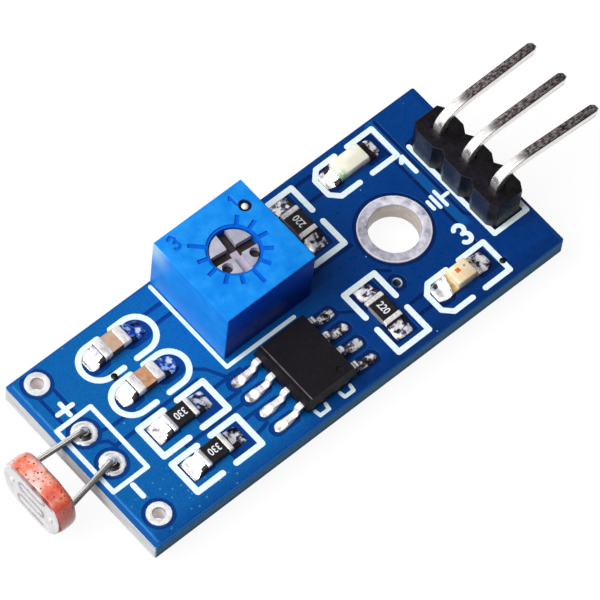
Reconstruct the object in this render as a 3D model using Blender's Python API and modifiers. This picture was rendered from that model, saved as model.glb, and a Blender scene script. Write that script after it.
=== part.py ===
"""Light sensor module: a circuit board with a photoresistor, a comparator, a trimmer and a header."""

import math

import bmesh
import bpy
from mathutils import Vector

MM = 0.001

# Circuit board. Positions on it are in millimetres from its middle, x towards the header.
BOARD_LENGTH = 32.2
BOARD_WIDTH = 13.6
BOARD_THICKNESS = 1.3
BOARD_CORNER_RADIUS = 0.15
FIT_GAP = 0.03
MERGE_DISTANCE = 0.0001
WIRE_TIP_SHARE = 0.6
VIA_RADIUS = 0.2
VIA_POSITIONS = ((-10.68, 3.28), (6.37, -2.63), (12.24, -5.53))

# Soldered tails below the board, all the same length, so that the module lies flat.
TAIL_LENGTH = 1.2
SOLDER_HEIGHT = 0.85
SOLDER_FILL = 0.15
SOLDER_NECK = 0.1
SOLDER_FOOT = 0.05
PAD_THICKNESS = 0.06
PLATING = 0.06

# Plated mounting hole for an M3 screw, and two plated holes near the corners.
MOUNT_CENTRE = (8.68, 0.18)
MOUNT_HOLE_RADIUS = 1.62
MOUNT_PAD_RADIUS = 2.3
CORNER_PAD_X = -14.5
CORNER_PAD_Y = (5.76, -5.21)
CORNER_HOLE_RADIUS = 0.42
CORNER_PAD_RADIUS = 0.82

# Header: three eight-sided plastic units on the 2.54 mm pitch, square pins bent over above them.
PITCH = 2.54
HEADER_CENTRE = (14.36, 0.18)
HEADER_DEPTH = 2.5
HEADER_HEIGHT = 2.54
HEADER_CUT_DEPTH = 0.35
HEADER_CUT_WIDTH = 0.55
PIN_SIDE = 0.64
PIN_OVERHANG = 5.85
PIN_AXIS_HEIGHT = 3.85
PIN_BEND_LENGTH = 1.9
PIN_BEND_HEIGHT = 1.15
PIN_TAPER = 0.3
PIN_HOLE_CLEARANCE = 0.06
PIN_SPLAY_DEGREES = (0.8, -0.4, -2.7)
HEADER_HOLE_RADIUS = 0.52
HEADER_PAD_RADIUS = 0.95

# Photoresistor: a ceramic disc with two flats in a red coating, on two wires bent over the board's end.
CELL_CENTRE_Y = 0.04
CELL_CENTRE_HEIGHT = 0.5
CELL_OVERHANG = 3.75
CELL_THICKNESS = 1.52
CELL_RADIUS = 2.55
CELL_HALF_HEIGHT = 2.0
COATING_WALL = 0.2
CELL_EDGE = 0.18
COATING_RIM_STEP = 0.06
TRACK_RUNS = 5
TRACK_REACH = 1.1
TRACK_MARGIN = 0.35
TRACK_WIDTH = 0.22
TRACK_HEIGHT = 0.05
CELL_PAD_X = -14.47
CELL_PAD_MIDDLE_Y = 0.27
CELL_PAD_RADIUS = 0.86
CELL_SOLDER_RADIUS = 0.8
CELL_LEAD_SPREAD = 3.44
LEAD_RADIUS = 0.25
LEAD_BEND_RADIUS = 0.38
LEAD_STRAIGHT_LENGTH = 0.25

# Trimmer: a square housing with a slotted rotor, a wiper, a ceramic element plate and three pins.
TRIMMER_CENTRE = (-1.57, 3.37)
TRIMMER_LENGTH = 6.85
TRIMMER_WIDTH = 6.75
TRIMMER_TOP = 4.84
TRIMMER_WALL = 0.45
TRIMMER_TOP_WALL = 1.0
TRIMMER_EDGE = 0.12
TRIMMER_PIN_SPREAD = 5.08
TRIMMER_PIN_RADIUS = 0.25
TRIMMER_PAD_RADIUS = 0.85
TRIMMER_HOLE_RADIUS = 1.68
ROTOR_HEAD_RADIUS = 1.5
ROTOR_HEAD_RECESS = 0.14
ROTOR_HEAD_EDGE = 0.06
ROTOR_FLANGE_RADIUS = 2.3
ROTOR_FLANGE_BOTTOM = 2.0
ROTOR_PLAY = 0.1
ROTOR_REST_DEGREES = -6.5
SLOT_WIDTH = 0.64
SLOT_DEPTH = 0.65
POINTER_SLOT_DEPTH = 0.34
POINTER_POCKET_RADIUS = 0.42
POINTER_POCKET_REACH = 1.3
POINTER_POCKET_DEPTH = 0.3
POINTER_POCKET_DEGREES = 53.0
WIPER_THICKNESS = 0.15
WIPER_RADIUS = 1.3
WIPER_ARM_REACH = 2.1
WIPER_ARM_WIDTH = 0.7
WIPER_CONTACT_RADIUS = 0.25
ELEMENT_BOTTOM = 0.3
ELEMENT_THICKNESS = 0.8
ELEMENT_CORNER_RADIUS = 0.2
SCALE_TICKS = 11
SCALE_STEP_DEGREES = 27.0
SCALE_RING_RADIUS = 1.86
SCALE_INNER_RADIUS = 1.8
SCALE_SHORT_TICK = 0.62
SCALE_LONG_TICK = 1.05
SCALE_TICK_WIDTH = 0.17
ENGRAVING_DEPTH = 0.1
GATE_MARK_OFFSET = (2.44, 1.86)
GATE_MARK_RADIUS = 0.36
GATE_MARK_DEPTH = 0.15

# Comparator in an eight-lead small-outline body.
CHIP_CENTRE = (-1.78, -3.53)
CHIP_LENGTH = 4.9
CHIP_WIDTH = 3.9
CHIP_BOTTOM = 0.15
CHIP_TOP = 1.6
CHIP_DRAFT = 0.12
CHIP_EDGE = 0.05
CHIP_LEAD_PITCH = 1.27
CHIP_LEAD_WIDTH = 0.42
CHIP_LEAD_THICKNESS = 0.2
CHIP_LEAD_SHOULDER = 0.3
CHIP_LEAD_SPAN = 6.0
CHIP_PAD_SPAN = 7.8
CHIP_SOLDER_END = 0.12
CHIP_LEAD_BEND = 0.22
CHIP_MARK_OFFSET = (1.05, -1.85)
CHIP_MARK_RADIUS = 0.22
CHIP_MARK_DEPTH = 0.08

# Chip resistors, capacitors and light-emitting diodes, each with two soldered ends.
RESISTOR = {"body": 1.3, "width": 1.25, "height": 0.52, "cap": 0.32, "foot": 1.05}
CAPACITOR = {"body": 1.16, "width": 1.25, "height": 0.85, "cap": 0.42, "foot": 0.98}
DIODE = {"body": 2.3, "width": 1.3, "height": 0.3, "cap": 0.05, "foot": 0.85}
DIODE_SOLDER_TOP = 0.38
DIODE_DRAFT = 0.1
DIODE_EDGE = 0.04
CAP_OVER_BODY = 0.02
CAP_OVER_SIDE = 0.03
FILLET_CURVE = 1.7
RESISTOR_PLACES = {
    "resistor_1": ((-9.46, -1.23), 0.0),
    "resistor_2": ((-9.46, -4.27), 0.0),
    "resistor_3": ((4.42, 4.02), 90.0),
    "resistor_4": ((4.44, -3.55), 90.0),
}
CAPACITOR_PLACES = {
    "capacitor_1": ((-9.55, 4.85), 0.0),
    "capacitor_2": ((-9.55, 1.82), 0.0),
}
DIODE_PLACES = {
    "led_1": {"centre": (9.5, 5.22), "lens": 2.0, "top": 0.75},
    "led_2": {"centre": (9.55, -4.75), "lens": 1.5, "top": 0.88},
}

# The frame's origin is below the middle of the whole module, at the level of the tails' ends.
CELL_FACE_X = -BOARD_LENGTH / 2 - CELL_OVERHANG
PIN_TIP_X = BOARD_LENGTH / 2 + PIN_OVERHANG
MIDDLE_X = (CELL_FACE_X + PIN_TIP_X) / 2
BOARD_TOP = TAIL_LENGTH + BOARD_THICKNESS
BOARD_BOTTOM = TAIL_LENGTH

COLOURS = {
    "board_blue": ((0.006, 0.085, 0.33), 0.35, 0.0),
    "tinned_pad": ((0.78, 0.79, 0.80), 0.28, 1.0),
    "solder": ((0.72, 0.73, 0.74), 0.22, 1.0),
    "pin_plating": ((0.62, 0.60, 0.58), 0.25, 1.0),
    "header_plastic": ((0.012, 0.012, 0.015), 0.4, 0.0),
    "housing_blue": ((0.01, 0.22, 0.75), 0.35, 0.0),
    "rotor_white": ((0.62, 0.58, 0.60), 0.4, 0.0),
    "contact_metal": ((0.70, 0.62, 0.42), 0.3, 1.0),
    "element_ceramic": ((0.75, 0.74, 0.70), 0.5, 0.0),
    "chip_black": ((0.015, 0.014, 0.015), 0.45, 0.0),
    "cell_ceramic": ((0.80, 0.76, 0.74), 0.3, 0.0),
    "cell_coating": ((0.80, 0.16, 0.07), 0.3, 0.0),
    "capacitor_brown": ((0.42, 0.24, 0.15), 0.4, 0.0),
    "resistor_black": ((0.012, 0.012, 0.013), 0.35, 0.0),
    "lens_resin": ((0.85, 0.78, 0.62), 0.2, 0.0),
}


def clear_scene():
    for obj in list(bpy.data.objects):
        bpy.data.objects.remove(obj, do_unlink=True)


def new_collection(name):
    collection = bpy.data.collections.new(name)
    bpy.context.scene.collection.children.link(collection)
    return collection


def make_materials():
    made = {}
    for name, (colour, roughness, metallic) in COLOURS.items():
        material = bpy.data.materials.new(name)
        material.use_nodes = True
        shader = material.node_tree.nodes["Principled BSDF"]
        shader.inputs["Base Color"].default_value = (*colour, 1.0)
        shader.inputs["Roughness"].default_value = roughness
        shader.inputs["Metallic"].default_value = metallic
        made[name] = material
    return made


def place(x, y, height=0.0):
    """A point of the part's frame, from a place on the board and a height above the board's top."""
    return Vector(((x - MIDDLE_X) * MM, y * MM, (BOARD_TOP + height) * MM))


def add_object(name, data, location, material, rotation=(0.0, 0.0, 0.0)):
    obj = bpy.data.objects.new(name, data)
    obj.location = location
    obj.rotation_euler = rotation
    if material is None:
        cutters.objects.link(obj)
        obj.hide_render = True
        obj.display_type = "WIRE"
    else:
        module.objects.link(obj)
        data.materials.append(materials[material])
    return obj


def mesh_from(bm, name):
    bmesh.ops.recalc_face_normals(bm, faces=bm.faces)
    mesh = bpy.data.meshes.new(name)
    bm.to_mesh(mesh)
    bm.free()
    return mesh


def box(name, size, location, material, turn=0.0):
    """A box of this size in millimetres, its middle at the location."""
    bm = bmesh.new()
    bmesh.ops.create_cube(bm, size=1.0)
    bmesh.ops.scale(bm, vec=Vector(size) * MM, verts=bm.verts)
    return add_object(name, mesh_from(bm, name), location, material, (0.0, 0.0, math.radians(turn)))


def cylinder(name, radius, height, location, material, sides=24, rotation=(0.0, 0.0, 0.0)):
    bm = bmesh.new()
    bmesh.ops.create_cone(
        bm, cap_ends=True, segments=sides, radius1=radius * MM, radius2=radius * MM, depth=height * MM
    )
    obj = add_object(name, mesh_from(bm, name), location, material, rotation)
    smooth(obj)
    return obj


def smooth(obj, degrees=35.0):
    obj.data.shade_smooth()
    obj.data.set_sharp_from_angle(angle=math.radians(degrees))


def add_bevel(obj, width, segments=2, degrees=40.0):
    modifier = obj.modifiers.new("rounded edges", "BEVEL")
    modifier.width = width * MM
    modifier.segments = segments
    modifier.limit_method = "ANGLE"
    modifier.angle_limit = math.radians(degrees)


def add_boolean(obj, other, operation="DIFFERENCE"):
    modifier = obj.modifiers.new(other.name, "BOOLEAN")
    modifier.operation = operation
    modifier.solver = "EXACT"
    modifier.object = other


def circle_points(radius, count, centre=(0.0, 0.0)):
    step = 2 * math.pi / count
    return [
        (centre[0] + radius * math.cos(i * step), centre[1] + radius * math.sin(i * step))
        for i in range(count)
    ]


def square_points(side, centre=(0.0, 0.0)):
    half = side / 2
    x, y = centre
    return [(x - half, y - half), (x + half, y - half), (x + half, y + half), (x - half, y + half)]


def rounded_rectangle(length, width, radius, corner_steps=4):
    points = []
    for corner in range(4):
        start = corner * math.pi / 2
        x = (length / 2 - radius) * (1 if corner in (0, 3) else -1)
        y = (width / 2 - radius) * (1 if corner in (0, 1) else -1)
        for i in range(corner_steps + 1):
            angle = start + i * math.pi / 2 / corner_steps
            points.append((x + radius * math.cos(angle), y + radius * math.sin(angle)))
    return points


def plate(name, loops, thickness, location, material, rotation=(0.0, 0.0, 0.0)):
    """A flat piece from its outline and its holes. The location is the middle of its thickness."""
    curve = bpy.data.curves.new(name, "CURVE")
    curve.dimensions = "2D"
    curve.fill_mode = "BOTH"
    curve.extrude = thickness / 2 * MM
    for loop in loops:
        spline = curve.splines.new("POLY")
        spline.points.add(len(loop) - 1)
        for point, (x, y) in zip(spline.points, loop):
            point.co = (x * MM, y * MM, 0.0, 1.0)
        spline.use_cyclic_u = True
    return add_object(name, curve, location, material, rotation)


def as_mesh(obj):
    """The same piece as a mesh, which can be cut."""
    bpy.context.view_layer.update()
    graph = bpy.context.evaluated_depsgraph_get()
    mesh = bpy.data.meshes.new_from_object(obj.evaluated_get(graph))
    bm = bmesh.new()
    bm.from_mesh(mesh)
    bmesh.ops.remove_doubles(bm, verts=bm.verts, dist=1e-7)
    bmesh.ops.recalc_face_normals(bm, faces=bm.faces)
    bm.to_mesh(mesh)
    bm.free()
    name, matrix, hidden = obj.name, obj.matrix_world.copy(), obj.hide_render
    collection = obj.users_collection[0]
    bpy.data.objects.remove(obj, do_unlink=True)
    made = bpy.data.objects.new(name, mesh)
    collection.objects.link(made)
    made.matrix_world = matrix
    if hidden:
        made.hide_render = True
        made.display_type = "WIRE"
    return made


def turned(name, profile, location, material, steps=24, closed=True):
    """A turned piece. The profile holds (radius, height) in millimetres and runs down the outer side."""
    mesh = bpy.data.meshes.new(name)
    points = [(r * MM, 0.0, z * MM) for r, z in profile]
    edges = [(i, i + 1) for i in range(len(points) - 1)]
    if closed:
        edges.append((len(points) - 1, 0))
    mesh.from_pydata(points, edges, [])
    obj = add_object(name, mesh, location, material)
    screw = obj.modifiers.new("turned", "SCREW")
    screw.angle = 2 * math.pi
    screw.steps = steps
    screw.render_steps = steps
    screw.use_merge_vertices = True
    screw.merge_threshold = MERGE_DISTANCE * MM
    screw.use_smooth_shade = True
    return obj


def arc(centre, radius, start, end, steps):
    """Points of an arc, with its angles in degrees."""
    points = []
    for i in range(steps + 1):
        angle = math.radians(start + (end - start) * i / steps)
        points.append((centre[0] + radius * math.cos(angle), centre[1] + radius * math.sin(angle)))
    return points


def wire(name, path, radius, material, resolution=2, location=(0.0, 0.0, 0.0), tilt=0.0, taper=0.0):
    """A wire along a path of points in millimetres. A taper narrows both ends over that length."""
    curve = bpy.data.curves.new(name, "CURVE")
    curve.dimensions = "3D"
    curve.bevel_depth = radius * MM
    curve.bevel_resolution = resolution
    curve.use_fill_caps = True
    points = [Vector(p) for p in path]
    widths = [1.0] * len(points)
    if taper:
        points.insert(1, points[0] + (points[1] - points[0]).normalized() * taper)
        points.insert(-1, points[-1] + (points[-2] - points[-1]).normalized() * taper)
        widths = [WIRE_TIP_SHARE, *([1.0] * (len(points) - 2)), WIRE_TIP_SHARE]
    spline = curve.splines.new("POLY")
    spline.points.add(len(points) - 1)
    for target, point, width in zip(spline.points, points, widths):
        target.co = (*(point * MM), 1.0)
        target.radius = width
        target.tilt = tilt
    return add_object(name, curve, location, material)


def strip_outline(path, thickness):
    """The outline of a flat strip that follows a path, half its thickness on each side."""
    sides = ([], [])
    for i, point in enumerate(path):
        before = Vector(path[max(i - 1, 0)])
        after = Vector(path[min(i + 1, len(path) - 1)])
        along = (after - before).normalized()
        across = Vector((-along.y, along.x)) * thickness / 2
        sides[0].append(tuple(Vector(point) + across))
        sides[1].append(tuple(Vector(point) - across))
    return sides[0] + sides[1][::-1]


def make_board():
    holes = [circle_points(MOUNT_HOLE_RADIUS + PLATING + FIT_GAP, 40, MOUNT_CENTRE)]
    for y in CORNER_PAD_Y:
        holes.append(circle_points(CORNER_HOLE_RADIUS + PLATING + FIT_GAP, 16, (CORNER_PAD_X, y)))
    for y in cell_pad_y():
        holes.append(circle_points(barrel_radius(LEAD_RADIUS), 16, (CELL_PAD_X, y)))
    for y in header_pin_y():
        holes.append(circle_points(barrel_radius(HEADER_HOLE_RADIUS), 16, (HEADER_CENTRE[0], y)))
    for x, y in trimmer_pin_places():
        holes.append(circle_points(barrel_radius(TRIMMER_PIN_RADIUS), 16, (x, y)))
    for x, y in VIA_POSITIONS:
        holes.append(circle_points(VIA_RADIUS, 10, (x, y)))
    outline = rounded_rectangle(BOARD_LENGTH, BOARD_WIDTH, BOARD_CORNER_RADIUS)
    middle = place(0, 0, -BOARD_THICKNESS / 2)
    plate("circuit_board", [outline, *holes], BOARD_THICKNESS, middle, "board_blue")


def barrel_radius(inner):
    """The hole in the board round a wire, its clearance and the solder that fills the hole."""
    return inner + FIT_GAP + SOLDER_FILL + FIT_GAP


def cell_pad_y():
    return [CELL_PAD_MIDDLE_Y + side * PITCH / 2 for side in (1, -1)]


def header_pin_y():
    return [HEADER_CENTRE[1] + step * PITCH for step in (1, 0, -1)]


def trimmer_pin_places():
    x, y = TRIMMER_CENTRE
    half = TRIMMER_PIN_SPREAD / 2
    return [(x + half, y + half), (x, y - half), (x - half, y + half)]


def make_plated_hole(name, centre, hole, pad, steps):
    """A plated hole: a thin barrel in the board with a flat ring on each face."""
    top = FIT_GAP + PAD_THICKNESS
    bottom = -BOARD_THICKNESS - FIT_GAP - PAD_THICKNESS
    barrel = hole + PLATING
    profile = [
        (hole, top),
        (pad, top),
        (pad, FIT_GAP),
        (barrel, FIT_GAP),
        (barrel, -BOARD_THICKNESS - FIT_GAP),
        (pad, -BOARD_THICKNESS - FIT_GAP),
        (pad, bottom),
        (hole, bottom),
    ]
    turned(name, profile, place(*centre), "tinned_pad", steps)


def make_solder(name, centre, inner, base, top_ring=0.0):
    """The solder of one joint: it fills the hole round the wire and stands as a cone below the board."""
    hole = inner + FIT_GAP
    barrel = barrel_radius(inner) - FIT_GAP
    under = -BOARD_THICKNESS - FIT_GAP
    low = -BOARD_THICKNESS - SOLDER_HEIGHT
    profile = [(hole, 0.0), (barrel, 0.0)]
    if top_ring:
        crown = FIT_GAP + PAD_THICKNESS
        profile = [(hole, crown), (top_ring, crown), (top_ring, FIT_GAP), (barrel, FIT_GAP)]
    foot = under - SOLDER_FOOT
    profile += [(barrel, under), (base, under), (base, foot)]
    neck = hole + SOLDER_NECK
    steps = 4
    for i in range(1, steps + 1):
        share = i / steps
        profile.append((neck + (base - neck) * (1 - share) ** 2, foot + (low - foot) * share))
    profile.append((hole, low))
    turned(name, profile, place(*centre), "solder", 20)


def make_header():
    half = HEADER_DEPTH / 2
    cut = HEADER_CUT_DEPTH
    side = []
    for y in header_pin_y():
        side += [
            (half - cut, y + PITCH / 2),
            (half, y + PITCH / 2 - HEADER_CUT_WIDTH),
            (half, y - PITCH / 2 + HEADER_CUT_WIDTH),
            (half - cut, y - PITCH / 2),
        ]
    # The grooves between two units meet in one point.
    right = [point for i, point in enumerate(side) if not (i % 4 == 0 and i > 0)]
    left = [(-x, y) for x, y in right[::-1]]
    x, y = HEADER_CENTRE
    outline = [(px, py - y) for px, py in right + left]
    holes = [square_points(PIN_SIDE + 2 * PIN_HOLE_CLEARANCE, (0.0, py - y)) for py in header_pin_y()]
    height = HEADER_HEIGHT - 2 * FIT_GAP
    plate("header_body", [outline, *holes], height, place(x, y, HEADER_HEIGHT / 2), "header_plastic")
    bend_bottom = PIN_AXIS_HEIGHT - PIN_BEND_HEIGHT
    profile = [(0.0, -BOARD_THICKNESS - TAIL_LENGTH)]
    for share_x, share_z in arc((1.0, 0.0), 1.0, 180, 90, 8):
        profile.append((PIN_BEND_LENGTH * share_x, bend_bottom + PIN_BEND_HEIGHT * share_z))
    profile.append((PIN_TIP_X - x, PIN_AXIS_HEIGHT))
    for number, (py, splay) in enumerate(zip(header_pin_y(), PIN_SPLAY_DEGREES), 1):
        path = [(px, 0.0, pz) for px, pz in profile]
        pin = wire(
            f"header_pin_{number}", path, PIN_SIDE / math.sqrt(2), "pin_plating", 0,
            place(x, py), math.radians(45), PIN_TAPER,
        )
        pin.rotation_euler = (0.0, 0.0, math.radians(splay))
        make_solder(f"header_solder_{number}", (x, py), HEADER_HOLE_RADIUS, HEADER_PAD_RADIUS)


def cell_outline(radius, half_height, steps=8):
    """A circle with a flat at the top and at the bottom, in the plane of the cell's face."""
    reach = math.degrees(math.asin(half_height / radius))
    right = arc((0.0, 0.0), radius, -reach, reach, steps)
    return right + [(-x, y) for x, y in right[::-1]]


def cell_holes(name):
    """Cutters for the two wires through the cell."""
    middle = CELL_FACE_X + CELL_THICKNESS / 2
    made = []
    for number, y in enumerate(cell_lead_y(), 1):
        location = place(middle, y, CELL_CENTRE_HEIGHT)
        hole = cylinder(
            f"{name}_wire_hole_{number}", LEAD_RADIUS + FIT_GAP, CELL_THICKNESS * 2, location, None, 12,
            (0.0, math.pi / 2, 0.0),
        )
        made.append(hole)
    return made


def cell_lead_y():
    return [CELL_CENTRE_Y + side * CELL_LEAD_SPREAD / 2 for side in (1, -1)]


def track_outline():
    """One line that winds to and fro across the face."""
    spacing = 2 * (CELL_HALF_HEIGHT - COATING_WALL - TRACK_MARGIN) / (TRACK_RUNS - 1)
    turn = spacing / 2
    path = [(-TRACK_REACH, -(TRACK_RUNS - 1) / 2 * spacing)]
    for run in range(TRACK_RUNS - 1):
        z = (run - (TRACK_RUNS - 1) / 2) * spacing
        side = 1 if run % 2 == 0 else -1
        ends = (-90, 90) if side > 0 else (270, 90)
        path += arc((side * (TRACK_REACH - turn), z + turn), turn, *ends, 6)
    last_side = 1 if TRACK_RUNS % 2 else -1
    path.append((last_side * TRACK_REACH, (TRACK_RUNS - 1) / 2 * spacing))
    return strip_outline(path, TRACK_WIDTH)


def make_photoresistor():
    upright = (math.pi / 2, 0.0, math.pi / 2)
    inner_radius = CELL_RADIUS - COATING_WALL
    inner_half = CELL_HALF_HEIGHT - COATING_WALL
    back = CELL_FACE_X + CELL_THICKNESS
    middle = (CELL_FACE_X + back) / 2
    shell = plate(
        "photoresistor_coating", [cell_outline(CELL_RADIUS, CELL_HALF_HEIGHT)], CELL_THICKNESS,
        place(middle, CELL_CENTRE_Y, CELL_CENTRE_HEIGHT), "cell_coating", upright,
    )
    shell = as_mesh(shell)
    add_bevel(shell, CELL_EDGE, 3)
    pocket_depth = CELL_THICKNESS - COATING_WALL
    pocket = plate(
        "coating_pocket", [cell_outline(inner_radius, inner_half)], pocket_depth * 2,
        place(CELL_FACE_X, CELL_CENTRE_Y, CELL_CENTRE_HEIGHT), None, upright,
    )
    add_boolean(shell, as_mesh(pocket))
    disc_front = CELL_FACE_X + COATING_RIM_STEP + TRACK_HEIGHT
    disc_back = back - COATING_WALL - FIT_GAP
    disc = plate(
        "photoresistor_disc", [cell_outline(inner_radius - FIT_GAP, inner_half - FIT_GAP)],
        disc_back - disc_front, place((disc_front + disc_back) / 2, CELL_CENTRE_Y, CELL_CENTRE_HEIGHT),
        "cell_ceramic", upright,
    )
    disc = as_mesh(disc)
    track = plate(
        "resistive_track", [track_outline()], TRACK_HEIGHT * 2,
        place(disc_front, CELL_CENTRE_Y, CELL_CENTRE_HEIGHT), None, upright,
    )
    add_boolean(disc, as_mesh(track), "UNION")
    for piece in (shell, disc):
        for hole in cell_holes(piece.name):
            add_boolean(piece, hole)
        smooth(piece)
    entry_x = back + LEAD_STRAIGHT_LENGTH
    for number, (pad_y, cell_y) in enumerate(zip(cell_pad_y(), cell_lead_y()), 1):
        pad = Vector((CELL_PAD_X, pad_y))
        entry = Vector((entry_x, cell_y))
        path = [place(*(pad + (entry - pad).normalized() * reach), z) / MM for reach, z in lead_profile()]
        path.append(place(*entry, CELL_CENTRE_HEIGHT) / MM)
        path.append(place(disc_front - TRACK_HEIGHT, cell_y, CELL_CENTRE_HEIGHT) / MM)
        wire(f"photoresistor_lead_{number}", path, LEAD_RADIUS, "pin_plating")
        name = f"photoresistor_solder_{number}"
        make_solder(name, (CELL_PAD_X, pad_y), LEAD_RADIUS, CELL_SOLDER_RADIUS, CELL_PAD_RADIUS)


def lead_profile():
    """A wire's (reach, height) from its tail below the board up to the end of its bend."""
    centre = (LEAD_BEND_RADIUS, CELL_CENTRE_HEIGHT - LEAD_BEND_RADIUS)
    return [(0.0, -BOARD_THICKNESS - TAIL_LENGTH)] + arc(centre, LEAD_BEND_RADIUS, 180, 90, 5)


def make_trimmer():
    x, y = TRIMMER_CENTRE
    height = TRIMMER_TOP - FIT_GAP
    housing = box(
        "trimmer_housing", (TRIMMER_LENGTH, TRIMMER_WIDTH, height),
        place(x, y, FIT_GAP + height / 2), "housing_blue",
    )
    add_bevel(housing, TRIMMER_EDGE)
    inside = (TRIMMER_LENGTH - 2 * TRIMMER_WALL, TRIMMER_WIDTH - 2 * TRIMMER_WALL)
    cavity_top = TRIMMER_TOP - TRIMMER_TOP_WALL
    add_boolean(housing, box("housing_cavity", (*inside, 2 * cavity_top), place(x, y), None))
    length = 3 * TRIMMER_TOP_WALL
    middle = place(x, y, TRIMMER_TOP)
    add_boolean(housing, cylinder("housing_rotor_hole", TRIMMER_HOLE_RADIUS, length, middle, None, 40))
    add_boolean(housing, cylinder("scale_ring", SCALE_RING_RADIUS, 2 * ENGRAVING_DEPTH, middle, None, 40))
    dx, dy = GATE_MARK_OFFSET
    mark = place(x + dx, y + dy, TRIMMER_TOP)
    add_boolean(housing, cylinder("gate_mark", GATE_MARK_RADIUS, 2 * GATE_MARK_DEPTH, mark, None, 16))
    for tick in range(SCALE_TICKS):
        add_boolean(housing, scale_tick(tick))
    make_wiper(make_rotor())
    plate_size = [side - 2 * FIT_GAP for side in inside]
    loops = [rounded_rectangle(*plate_size, ELEMENT_CORNER_RADIUS, 2)]
    for px, py in trimmer_pin_places():
        loops.append(circle_points(TRIMMER_PIN_RADIUS + FIT_GAP, 12, (px - x, py - y)))
    middle = place(x, y, ELEMENT_BOTTOM + ELEMENT_THICKNESS / 2)
    plate("trimmer_element_plate", loops, ELEMENT_THICKNESS, middle, "element_ceramic")
    top = ELEMENT_BOTTOM + ELEMENT_THICKNESS
    bottom = -BOARD_THICKNESS - TAIL_LENGTH
    for number, (px, py) in enumerate(trimmer_pin_places(), 1):
        location = place(px, py, (top + bottom) / 2)
        cylinder(f"trimmer_pin_{number}", TRIMMER_PIN_RADIUS, top - bottom, location, "pin_plating", 12)
        make_solder(f"trimmer_solder_{number}", (px, py), TRIMMER_PIN_RADIUS, TRIMMER_PAD_RADIUS)


def scale_tick(tick):
    """One engraved line of the scale. The first and the middle one are long."""
    middle = SCALE_TICKS // 2
    length = SCALE_LONG_TICK if tick in (0, middle) else SCALE_SHORT_TICK
    degrees = 270.0 + (middle - tick) * -SCALE_STEP_DEGREES
    reach = SCALE_INNER_RADIUS + length / 2
    x = TRIMMER_CENTRE[0] + reach * math.cos(math.radians(degrees))
    y = TRIMMER_CENTRE[1] + reach * math.sin(math.radians(degrees))
    size = (length, SCALE_TICK_WIDTH, 2 * ENGRAVING_DEPTH)
    return box(f"scale_tick_{tick + 1}", size, place(x, y, TRIMMER_TOP), None, degrees)


def make_rotor():
    """The slotted rotor, its origin on its axis. Its arrow arm points down the scale at rest."""
    x, y = TRIMMER_CENTRE
    top = TRIMMER_TOP - ROTOR_HEAD_RECESS - ROTOR_FLANGE_BOTTOM
    flange_top = TRIMMER_TOP - TRIMMER_TOP_WALL - ROTOR_PLAY - ROTOR_FLANGE_BOTTOM
    profile = [
        (0.0, top),
        (ROTOR_HEAD_RADIUS - ROTOR_HEAD_EDGE, top),
        (ROTOR_HEAD_RADIUS, top - ROTOR_HEAD_EDGE),
        (ROTOR_HEAD_RADIUS, flange_top),
        (ROTOR_FLANGE_RADIUS, flange_top),
        (ROTOR_FLANGE_RADIUS, 0.0),
        (0.0, 0.0),
    ]
    origin = place(x, y, ROTOR_FLANGE_BOTTOM)
    rotor = turned("trimmer_rotor", profile, origin, "rotor_white", 40, False)
    reach = ROTOR_HEAD_RADIUS + ROTOR_PLAY
    slot_middle = place(x, y, TRIMMER_TOP - ROTOR_HEAD_RECESS)
    size = (2 * reach, SLOT_WIDTH, 2 * SLOT_DEPTH)
    add_boolean(rotor, box("rotor_slot_across", size, slot_middle, None, ROTOR_REST_DEGREES))
    # The arm that points down the scale is shallower than the one across from it.
    arms = (("rotor_slot_deep", 90.0, SLOT_DEPTH), ("rotor_slot_pointer", 270.0, POINTER_SLOT_DEPTH))
    for name, turn, depth in arms:
        degrees = turn + ROTOR_REST_DEGREES
        along = Vector((math.cos(math.radians(degrees)), math.sin(math.radians(degrees)), 0.0))
        size = (reach, SLOT_WIDTH, 2 * depth)
        add_boolean(rotor, box(name, size, slot_middle + along * reach / 2 * MM, None, degrees))
    for name, side in (("pointer_pocket_left", -1), ("pointer_pocket_right", 1)):
        angle = math.radians(270.0 + ROTOR_REST_DEGREES + side * POINTER_POCKET_DEGREES)
        px = x + POINTER_POCKET_REACH * math.cos(angle)
        py = y + POINTER_POCKET_REACH * math.sin(angle)
        centre = place(px, py, TRIMMER_TOP - ROTOR_HEAD_RECESS)
        pocket = cylinder(name, POINTER_POCKET_RADIUS, 2 * POINTER_POCKET_DEPTH, centre, None, 16)
        add_boolean(rotor, pocket)
    return rotor


def make_wiper(rotor):
    """The contact spring under the rotor, with one arm and a contact that meets the element plate."""
    x, y = TRIMMER_CENTRE
    half = WIPER_ARM_WIDTH / 2
    start = math.degrees(math.asin(half / WIPER_RADIUS))
    outline = arc((0.0, 0.0), WIPER_RADIUS, start, 360 - start, 20)
    outline += arc((WIPER_ARM_REACH - half, 0.0), half, -90, 90, 6)
    top = ROTOR_FLANGE_BOTTOM - FIT_GAP
    turn = (0.0, 0.0, math.radians(270.0 + ROTOR_REST_DEGREES))
    spring = plate(
        "trimmer_wiper", [outline], WIPER_THICKNESS, place(x, y, top - WIPER_THICKNESS / 2),
        "contact_metal", turn,
    )
    spring = as_mesh(spring)
    contact_height = top - WIPER_THICKNESS / 2 - (ELEMENT_BOTTOM + ELEMENT_THICKNESS + FIT_GAP)
    reach = WIPER_ARM_REACH - half
    middle = top - WIPER_THICKNESS / 2 - contact_height / 2
    px = x + reach * math.cos(turn[2])
    py = y + reach * math.sin(turn[2])
    tip = place(px, py, middle)
    contact = cylinder("wiper_contact", WIPER_CONTACT_RADIUS, contact_height, tip, None, 12)
    add_boolean(spring, contact, "UNION")
    bpy.context.view_layer.update()
    spring.parent = rotor
    spring.matrix_parent_inverse = rotor.matrix_world.inverted()


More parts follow.
